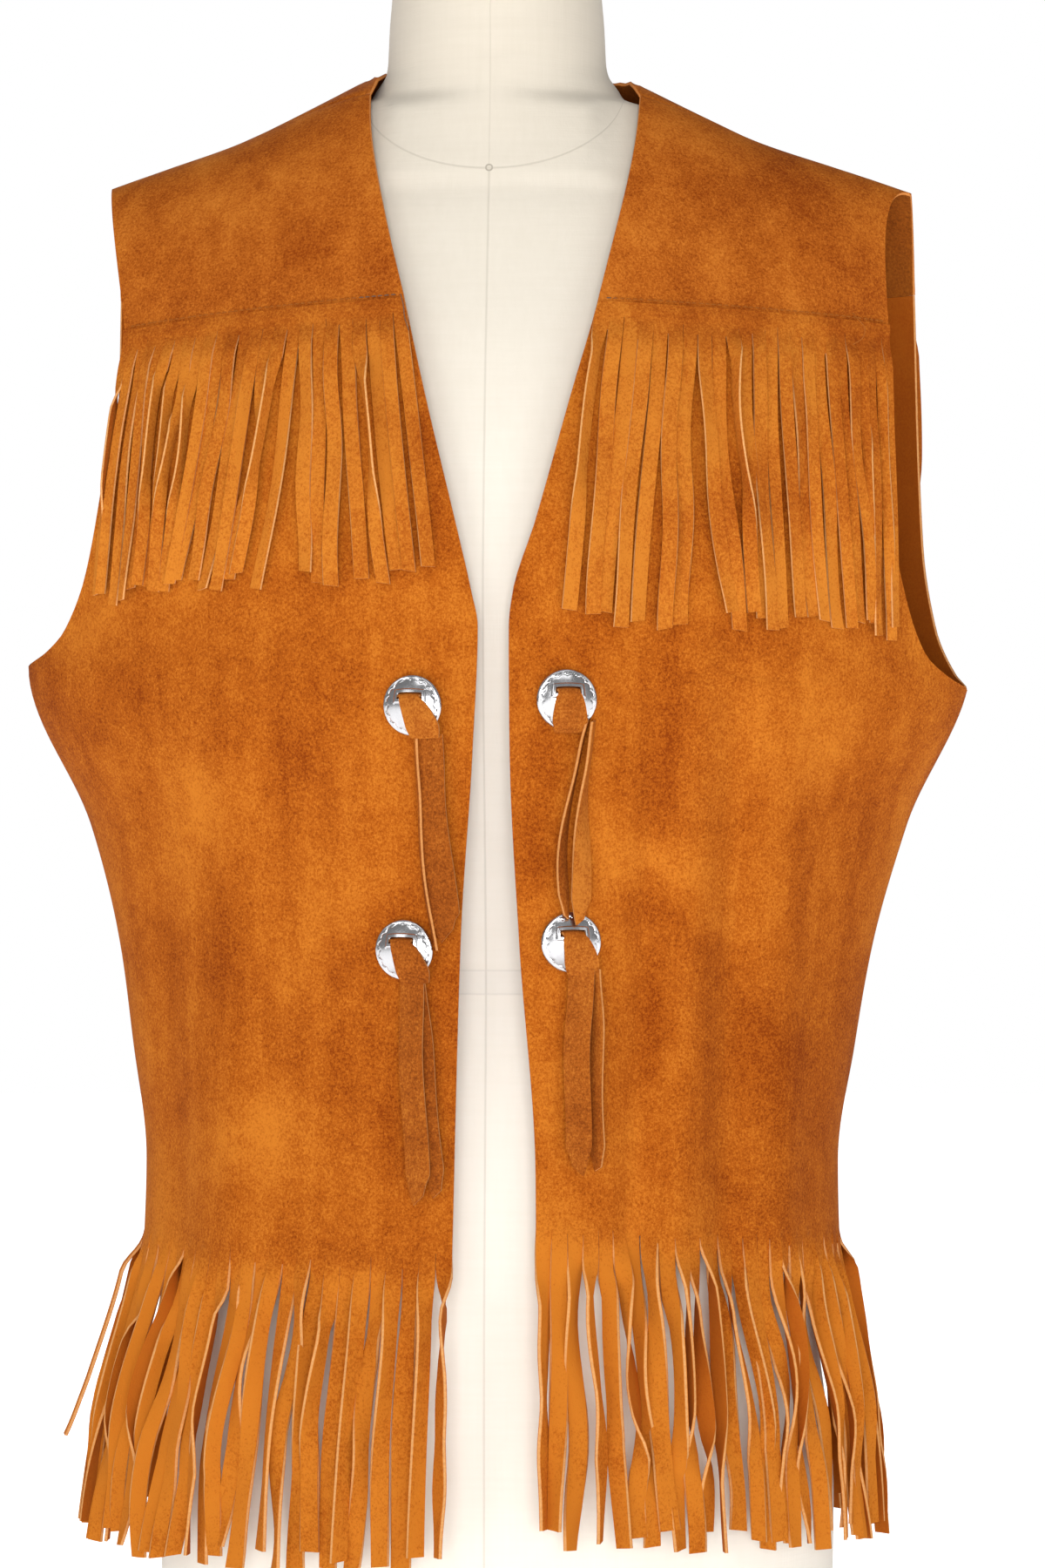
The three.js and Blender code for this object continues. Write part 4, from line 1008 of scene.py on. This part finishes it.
def form_foot():
    r, high = STAND["foot_radius"], STAND["foot_high"]
    profile = [
        (1, 0),
        (r - 3, 0),
        *rounded((r, 0), 3, (1, 0), (0, 1)),
        *rounded((r, high - 5), 2, (0, 1), (-1, 0)),
        (r - 5, high - 5.2),
        *rounded((r - 6, high), 3.5, (0, 1), (-1, 0)),
        (60, high),
        (1, high),
    ]
    return lathe("wood_form_foot", profile)


def form_post():
    r, wide = STAND["post_radius"], STAND["flange_radius"]
    bottom = STAND["foot_high"] + STAND["gap"]
    top = FORM_SECTIONS[0]["z"] - STAND["gap"]
    collar = [(13, 0), (14, 1), (13.4, 4), (11, 5.4), (4, 6.6), (1, 8.4), (0, 11)]
    bead = [(0, 30), (0.8, 31), (0.8, 36), (0, 37)]
    profile = [
        (1, bottom),
        *((r + out, bottom + up) for out, up in collar + bead),
        (r, top - 11),
        (r + 3, top - 7.5),
        (wide - 1, top - 5),
        (wide, top - 4),
        (wide, top),
        (1, top),
    ]
    return lathe("iron_form_post", profile, 64)


def form_neck_cap():
    top, cap = NECK_SECTIONS[-1], NECK_CAP
    base, high = top["z"] + cap["gap"], cap["thick"]
    shape = [
        (0.02, 0), (0.985, 0), (1, 0.1), (1, 0.5), (0.985, 0.72),
        (0.955, 0.88), (0.9, 0.97), (0.84, 1), (0.3, 1.0), (0.02, 1.0),
    ]
    wide, deep = top["half"] - cap["inset"], (top["front"] + top["back"]) / 2 - cap["inset"]
    profile = [(r, base + h * high) for r, h in shape]
    return lathe("wood_form_neck_cap", profile, 96, (0, cap["lean"]), (wide, deep))


# ---------------------------------------------------------------- finishes
class Wire:
    """A node's output that can be reckoned with: an expression on wires adds its Math nodes."""

    def __init__(self, tree, socket=None):
        self.tree = tree
        self.socket = socket

    def node(self, kind, settings=None, inputs=None, out=0):
        """Adds a node of that type: its settings first, then the values or links of its sockets."""
        node = self.tree.nodes.new(kind)
        for name, value in (settings or {}).items():
            if name == "stops":
                while len(node.color_ramp.elements) < len(value):
                    node.color_ramp.elements.new(0.5)
                for element, (place, colour) in zip(node.color_ramp.elements, value):
                    element.position = place
                    element.color = colour
            else:
                setattr(node, name, value)
        for key, value in (inputs or {}).items():
            if isinstance(value, Wire):
                self.tree.links.new(value.socket, node.inputs[key])
            else:
                node.inputs[key].default_value = value
        return Wire(self.tree, node.outputs[out] if node.outputs else None)

    def math(self, operation, *others):
        return self.node("ShaderNodeMath", {"operation": operation}, dict(enumerate((self, *others))))

    def __add__(self, other):
        return self.math("ADD", other)

    def __mul__(self, other):
        return self.math("MULTIPLY", other)

    def __sub__(self, other):
        return self.math("SUBTRACT", other)

    def __rsub__(self, other):
        return self.node("ShaderNodeMath", {"operation": "SUBTRACT"}, {0: other, 1: self})

    def __truediv__(self, other):
        return self.math("DIVIDE", other)

    __radd__ = __add__
    __rmul__ = __mul__

    def power(self, other):
        return self.math("POWER", other)

    def size(self):
        return self.math("ABSOLUTE")

    def least(self, other):
        return self.math("MINIMUM", other)

    def most(self, other):
        return self.math("MAXIMUM", other)

    def between(self, low, high):
        """0 below low and 1 above high, with a soft step between them."""
        settings = {"interpolation_type": "SMOOTHSTEP"}
        return self.node("ShaderNodeMapRange", settings, {0: self, 1: low, 2: high})

    def stretch(self, wide, deep, high):
        """A place stretched: how many units it has in each metre along each way."""
        inputs = {0: self, 1: (wide, deep, high)}
        return self.node("ShaderNodeVectorMath", {"operation": "MULTIPLY"}, inputs)

    def parts(self):
        return [self.node("ShaderNodeSeparateXYZ", inputs={0: self}, out=k) for k in range(3)]

    def noise(self, size, detail=3.0, rough=0.55, warp=0.0):
        """Uneven values round 0.5, with blots of about that size in millimetres."""
        inputs = {"Vector": self, "Scale": 1 / (size * MM), "Detail": detail}
        inputs.update({"Roughness": rough, "Distortion": warp})
        return self.node("ShaderNodeTexNoise", inputs=inputs)

    def mark(self, name):
        return self.node("ShaderNodeAttribute", {"attribute_name": name}, out=2)

    def bump(self, height, strength=1.0):
        """A normal raised by height in millimetres."""
        return self.node("ShaderNodeBump", inputs={"Height": height, "Distance": MM, "Strength": strength})


def blend(share, low, high):
    inputs = {0: share, 6: low, 7: high}
    return share.node("ShaderNodeMix", {"data_type": "RGBA"}, inputs, out=2)


def colour(red, green, blue):
    """A colour from its 0 to 255 screen values."""
    screen = np.array([red, green, blue]) / 255
    linear = np.where(screen <= 0.04045, screen / 12.92, ((screen + 0.055) / 1.055) ** 2.4)
    return (*(float(c) for c in linear), 1.0)


def finish(name, make):
    """A material. make(start) gives the surface shader's socket values and links."""
    material = bpy.data.materials.new(name)
    material.use_nodes = True
    tree = material.node_tree
    tree.nodes.clear()
    start = Wire(tree)
    place = start.node("ShaderNodeTexCoord", out=3)
    surface = start.node("ShaderNodeBsdfPrincipled", inputs=make(start, place))
    start.node("ShaderNodeOutputMaterial", inputs={"Surface": surface})
    return material


def suede(look):
    """Suede: a soft mottled nap, darker on the flesh side, pale where it was cut. The yokes' much darker
    flesh side is painted shade.
    """
    deep, main, light, edge, flesh = (
        colour(*look[name]) for name in ("deep", "main", "light", "edge", "flesh")
    )

    def make(start, place):
        depth, tone, along = start.mark("depth"), start.mark("tone"), start.mark("along")
        patches = place.noise(90, 2, 0.5, 0.6)
        brushed = place.stretch(1.0, 1.0, 0.14).noise(22, 3, 0.55, 0.3)
        clouds = place.noise(9, 3, 0.6)
        nap = place.noise(1.25, 4, 0.7)
        fibre = place.stretch(1.0, 1.0, 0.5).noise(0.5, 2, 0.6)
        shade = 1.25 * (patches - 0.5) + 0.75 * (brushed - 0.5) + 0.5 * (clouds - 0.5) + 1.75 * (nap - 0.5)
        # Partly painted light: strands grow lighter below their roots, partly their own lighter colour,
        # partly making up for the shade they cast on each other.
        shade = shade + 0.8 * (fibre - 0.5) + 0.08 * tone + look["strand"] * along.between(0.0, 0.14) + 0.5
        face = shade.node(
            "ShaderNodeValToRGB",
            {"stops": [(0.08, deep), (0.5, main), (0.92, light)]},
            {0: shade},
        )
        # The flesh side's colour; for the yokes it is darkened as painted shade.
        inside = blend((0.5 + 1.2 * (nap - 0.5)), flesh, main)
        flesh_side = blend(depth.between(0.9, 1.0) * 0.75, face, inside)
        hide = blend(depth.between(0.82, 0.97), face, flesh_side)
        cut = depth.between(0.02, 0.3) * (1 - depth.between(0.7, 0.98))
        pale = blend(0.25 + 0.8 * nap, main, edge)
        height = 0.3 * nap + 0.12 * fibre + 0.35 * clouds
        return {
            "Base Color": blend(cut * 0.9, hide, pale),
            "Roughness": 0.86 + 0.1 * nap,
            "Specular IOR Level": 0.1,
            "Sheen Weight": 0.06,
            "Sheen Roughness": 0.45,
            "Sheen Tint": colour(240, 150, 60),
            "Normal": start.bump(height, 0.55),
        }

    return make


def silver(start, place):
    worn = place.noise(3.2, 4, 0.6)
    hair = place.stretch(1.0, 1.0, 6.0).noise(0.6, 2, 0.5)
    return {
        "Base Color": blend(worn, colour(190, 190, 192), colour(222, 221, 223)),
        "Metallic": 1.0,
        "Roughness": 0.15 + 0.1 * worn,
        "Normal": start.bump(0.012 * hair + 0.012 * worn, 0.4),
    }


def thread(start, place):
    """Thread in the hide's colour, with a darker back-tack near the front edges."""
    ply = place.noise(0.5, 2, 0.5)
    across = place.parts()[0].size()
    tack = blend(ply, colour(84, 62, 48), colour(128, 100, 80))
    seam = blend(ply, colour(138, 74, 22), colour(170, 98, 36))
    return {
        "Base Color": blend(across.between(57 * MM, 62 * MM), tack, seam),
        "Roughness": 0.85,
        "Specular IOR Level": 0.1,
        "Normal": start.bump(0.1 * ply, 0.6),
    }


def linen(start, place):
    """Stretched ivory linen with its seams: centre, sides, neck and waist."""
    x, y, z = place.parts()
    warp = place.stretch(1.0, 1.0, 0.05).noise(0.9, 2, 0.5)
    weft = place.stretch(0.05, 0.05, 1.0).noise(0.9, 2, 0.5)
    slub = place.stretch(0.06, 0.06, 1.0).noise(2.4, 2, 0.6)
    slub = slub + place.stretch(1.0, 1.0, 0.05).noise(3.1, 2, 0.6)
    soil = place.noise(70, 3, 0.6)
    seam = NECK_SEAM
    wide = x / (seam["half"] * MM)
    ring_foot = (1 - wide * wide).most(0.0001).power(0.5)
    front_seam = ((seam["side"] - seam["front"]) * MM) * (1 - ring_foot) + seam["front"] * MM
    back_seam = seam["side"] * MM + ((seam["back"] - seam["side"]) * MM) * ring_foot
    behind = y.between(0, 1 * MM)
    above_seam = z - (front_seam * (1 - behind) + back_seam * behind)
    neck = above_seam.size()
    waist = (z - WAIST["height"] * MM).size()
    centre = x.size()
    flank = (y - SIDE_SEAM * MM).size()
    nearest = (centre + 0.0003 * above_seam.between(0, 1.0 * MM)).least(neck).least(flank + 0.0004)
    groove = 1 - nearest.between(0.15 * MM, 0.75 * MM)
    past_tape = waist - WAIST["tape"] * MM
    tape = 1 - past_tape.between(0, 0.5 * MM)
    tape_edge = 1 - past_tape.size().between(0.2 * MM, 0.7 * MM)
    eyelet_at = tuple(each * MM for each in EYELET)
    eyelet = start.node("ShaderNodeVectorMath", {"operation": "DISTANCE"}, {0: place, 1: eyelet_at}, out=1)
    ring = 1 - (eyelet - 1.5 * MM).size().between(0.2 * MM, 0.6 * MM)
    # Painted light and shade: the linen is lighter low down, to light up the shaded gap between the fronts
    # at the waist, and darker high up, to hold down the brightly lit neck and chest.
    painted_light_low = blend(0.35 * slub + 0.3 * soil, colour(253, 248, 238), colour(243, 237, 223))
    painted_shade_high = blend(0.35 * slub + 0.3 * soil, colour(218, 209, 194), colour(205, 195, 178))
    base = blend(z.between(470 * MM, 900 * MM), painted_light_low, painted_shade_high)
    base = blend(tape * 0.3, base, colour(238, 234, 226))
    dark = (groove * 0.2).most(tape_edge * 0.1).most(ring * 0.6)
    height = 0.10 * warp + 0.10 * weft + 0.06 * slub - 0.15 * groove + 0.15 * tape
    return {
        "Base Color": blend(dark, base, colour(128, 118, 102)),
        "Roughness": 0.9,
        "Specular IOR Level": 0.2,
        "Sheen Weight": 0.12,
        "Normal": start.bump(height, 0.6),
    }


def wood(start, place):
    rings = place.stretch(1.0, 7.0, 3.0).noise(60, 4, 0.6, 1.2)
    grain_lines = place.stretch(1.0, 14.0, 6.0).noise(16, 3, 0.65)
    pores = place.stretch(1.0, 22.0, 8.0).noise(5, 2, 0.6)
    share = 0.55 * rings + 0.35 * grain_lines + 0.2 * pores - 0.05
    return {
        "Base Color": blend(share, colour(122, 84, 48), colour(184, 140, 90)),
        "Roughness": 0.3 + 0.15 * pores,
        "Coat Weight": 0.25,
        "Normal": start.bump(0.05 * pores + 0.03 * grain_lines, 0.5),
    }


def iron(start, place):
    speck = place.noise(1.1, 3, 0.6)
    rub = place.noise(24, 4, 0.65)
    return {
        "Base Color": blend(rub, colour(30, 28, 27), colour(52, 49, 46)),
        "Metallic": 0.4,
        "Roughness": 0.34 + 0.2 * rub,
        "Normal": start.bump(0.05 * speck, 0.6),
    }


def floor_paper(start, place):
    """White paper that is lit evenly all round and takes a soft shade close to the stand."""
    fibre = place.noise(2.0, 3, 0.6)
    away = start.node("ShaderNodeVectorMath", {"operation": "LENGTH"}, {0: place}, out=1)
    return {
        "Base Color": blend(fibre, colour(246, 246, 246), colour(250, 250, 250)),
        "Roughness": 0.9,
        "Emission Color": blend(away.between(0.3, 0.75), (0.3, 0.3, 0.3, 1.0), (1.0, 1.0, 1.0, 1.0)),
        "Emission Strength": 1.0,
        "Normal": start.bump(0.02 * fibre, 0.2),
    }


# Screen colours from deep to light, of the pale cut edge and of the flesh side, and how much lighter the
# strands are: partly the fringe's own lighter colour, partly painted light that makes up for the shade the
# strands cast on each other.
SUEDES = table(
    "name deep main light edge flesh strand",
    ("panel_suede", (130, 54, 4), (171, 87, 17), (199, 116, 33), (238, 184, 122), (166, 80, 20), 0.4),
    # Painted light and shade: a lit copy of the panels' suede, its colours brightened where the yokes face
    # away from the lamps, and its flesh colour darkened as painted shade for the shadowed inside of the
    # neckline.
    ("yoke_suede", (138, 60, 8), (178, 94, 24), (203, 120, 40), (222, 152, 88), (64, 34, 14), 0.0),
    ("fringe_suede", (140, 62, 8), (174, 91, 22), (200, 120, 38), (240, 188, 126), (126, 66, 24), 0.2),
    ("tie_suede", (120, 56, 12), (158, 82, 22), (188, 112, 38), (222, 160, 98), (116, 64, 28), 0.0),
)
panel_suede, yoke_suede, fringe_suede, tie_suede = (finish(look["name"], suede(look)) for look in SUEDES)
bright_silver = finish("bright_silver", silver)
brown_thread = finish("brown_thread", thread)
ivory_linen = finish("ivory_linen", linen)
satin_beech = finish("satin_beech", wood)
black_enamel = finish("black_enamel", iron)


# ---------------------------------------------------------------- making the pieces
def place_piece(piece, material, slot, *nodes):
    piece.data.materials.append(material)
    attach(piece, "root")
    if nodes:
        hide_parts(*nodes)
    return piece


yoke_fringes = {
    side: place_piece(yoke_fringe(side), fringe_suede, "suede_fringe", f"yoke_fringe_{side}")
    for side in SIDES
}
yoke_fringes["back"] = place_piece(back_yoke_fringe(), fringe_suede, "suede_fringe", "yoke_fringe_back")
panels = {
    side: place_piece(front_panel(side), panel_suede, "suede", f"front_{side}", f"hem_fringe_{side}")
    for side in SIDES
}
panels["back"] = place_piece(back_panel(), panel_suede, "suede", "back", "hem_fringe_back")
yokes = {side: place_piece(front_yoke(side), yoke_suede, "suede", f"yoke_{side}") for side in SIDES}
yokes["back"] = place_piece(back_yoke(), yoke_suede, "suede", "yoke_back")

STITCH = (3.1, 0.34)  # pitch and thread radius
# Loose thread ends at the seams' ends, as paths.
THREAD_ENDS = {
    "left": [[(170, -77, 739), (172, -82, 736), (176, -80, 732), (175, -79, 727), (170, -80, 724)]],
    "right": [[(-38.5, -107, 746), (-37, -109, 741), (-36.6, -109, 735), (-34.5, -109, 729)]],
}
for side in SIDES:
    seam_frame = lambda across, up: yoke_frame(side, across, up)
    across, up = np.linspace(0.01, 0.99, 300), STITCH_LINE / YOKE_RISE
    row = stitch_row(f"thread_yoke_{side}", seam_frame, across, up, *STITCH, THREAD_ENDS[side])
    place_piece(row, brown_thread, "suede")
across, up = np.linspace(-0.99, 0.99, 600), STITCH_LINE / BACK_YOKE_RISE
row = stitch_row("thread_yoke_back", back_yoke_frame, across, up, *STITCH)
place_piece(row, brown_thread, "suede")

for tie_row in TIES:
    place_piece(concho(tie_row), bright_silver, "silver", f"concho_{tie_row['name']}")
    place_piece(tie(tie_row), tie_suede, "suede_tie", f"tie_{tie_row['name']}")

place_piece(form_body(), ivory_linen, "form_linen", "form_body")
place_piece(form_neck_cap(), satin_beech, "form_wood", "form_neck_cap")
place_piece(form_foot(), satin_beech, "form_wood", "form_foot")
place_piece(form_post(), black_enamel, "form_iron", "form_post")

# ---------------------------------------------------------------- what each sheet was cut to
SHEETS = table(
    "piece wide long area held",
    ("left", 0.265, 0.58, 0.121, "hung"),
    ("right", 0.275, 0.587, 0.127, "hung"),
    ("back", 0.52, 0.605, 0.271, "hung"),
)
YOKE_SHEETS = table(
    "piece wide long area held",
    ("left", 0.16, 0.14, 0.0155, "draped"),
    ("right", 0.16, 0.14, 0.016, "draped"),
    ("back", 0.44, 0.15, 0.0485, "draped"),
)

# ---------------------------------------------------------------- studio
def studio_floor():
    angle = 2 * np.pi * np.arange(96) / 96
    ring = np.stack([FLOOR_RADIUS * np.cos(angle), FLOOR_RADIUS * np.sin(angle), 0 * angle - 0.2], -1)
    floor = mesh_piece("studio_floor", ring, [list(range(96))])
    floor.data.materials.append(finish("floor_paper", floor_paper))


def soft_light(name, place, aim, size, power):
    data = bpy.data.lights.new(name, "AREA")
    data.shape = "RECTANGLE"
    data.size, data.size_y = size
    data.energy = power
    light = bpy.data.objects.new(name, data)
    bpy.context.scene.collection.objects.link(light)
    light.location = place
    light.rotation_euler = (Vector(aim) - Vector(place)).to_track_quat("-Z", "Y").to_euler()


def studio_sky():
    """White as a backdrop, and a dim even light from all round."""
    world = bpy.data.worlds.new("studio_sky")
    bpy.context.scene.world = world
    world.use_nodes = True
    tree = world.node_tree
    tree.nodes.clear()
    start = Wire(tree)
    white = (1.0, 1.0, 1.0, 1.0)
    light = start.node("ShaderNodeBackground", inputs={"Color": white, "Strength": 0.26})
    backdrop = start.node("ShaderNodeBackground", inputs={"Color": white, "Strength": 1.0})
    seen = start.node("ShaderNodeLightPath", out=0)
    either = start.node("ShaderNodeMixShader", inputs={0: seen, 1: light, 2: backdrop})
    start.node("ShaderNodeOutputWorld", inputs={"Surface": either})


def camera():
    data = bpy.data.cameras.new("camera")
    data.sensor_width = 36
    data.lens = 114.3
    data.clip_start, data.clip_end = 0.05, 50
    eye = bpy.data.objects.new("camera", data)
    bpy.context.scene.collection.objects.link(eye)
    swing = math.radians(3)
    eye.location = (0.1378, -2.3961, 0.520)
    eye.rotation_euler = Vector((-math.sin(swing), math.cos(swing), 0)).to_track_quat("-Z", "Y").to_euler()
    bpy.context.scene.camera = eye


studio_floor()
studio_sky()
camera()
soft_light("key", (-1.5, -2.0, 1.2), (0, 0, 0.5), (0.9, 0.9), 6)
soft_light("top", (0.1, -1.5, 2.3), (0, 0, 0.5), (1.8, 0.8), 7)
soft_light("front", (0.16, -3.3, 0.55), (0, 0, 0.45), (1.6, 1.1), 49)
soft_light("fill", (1.8, -1.7, 0.6), (0, 0, 0.5), (0.8, 1.5), 4)
soft_light("rim", (-0.6, 2.2, 1.9), (0, 0, 0.6), (1.4, 1.0), 14)
bpy.context.scene.view_settings.view_transform = "Standard"
bpy.context.scene.view_settings.look = "None"
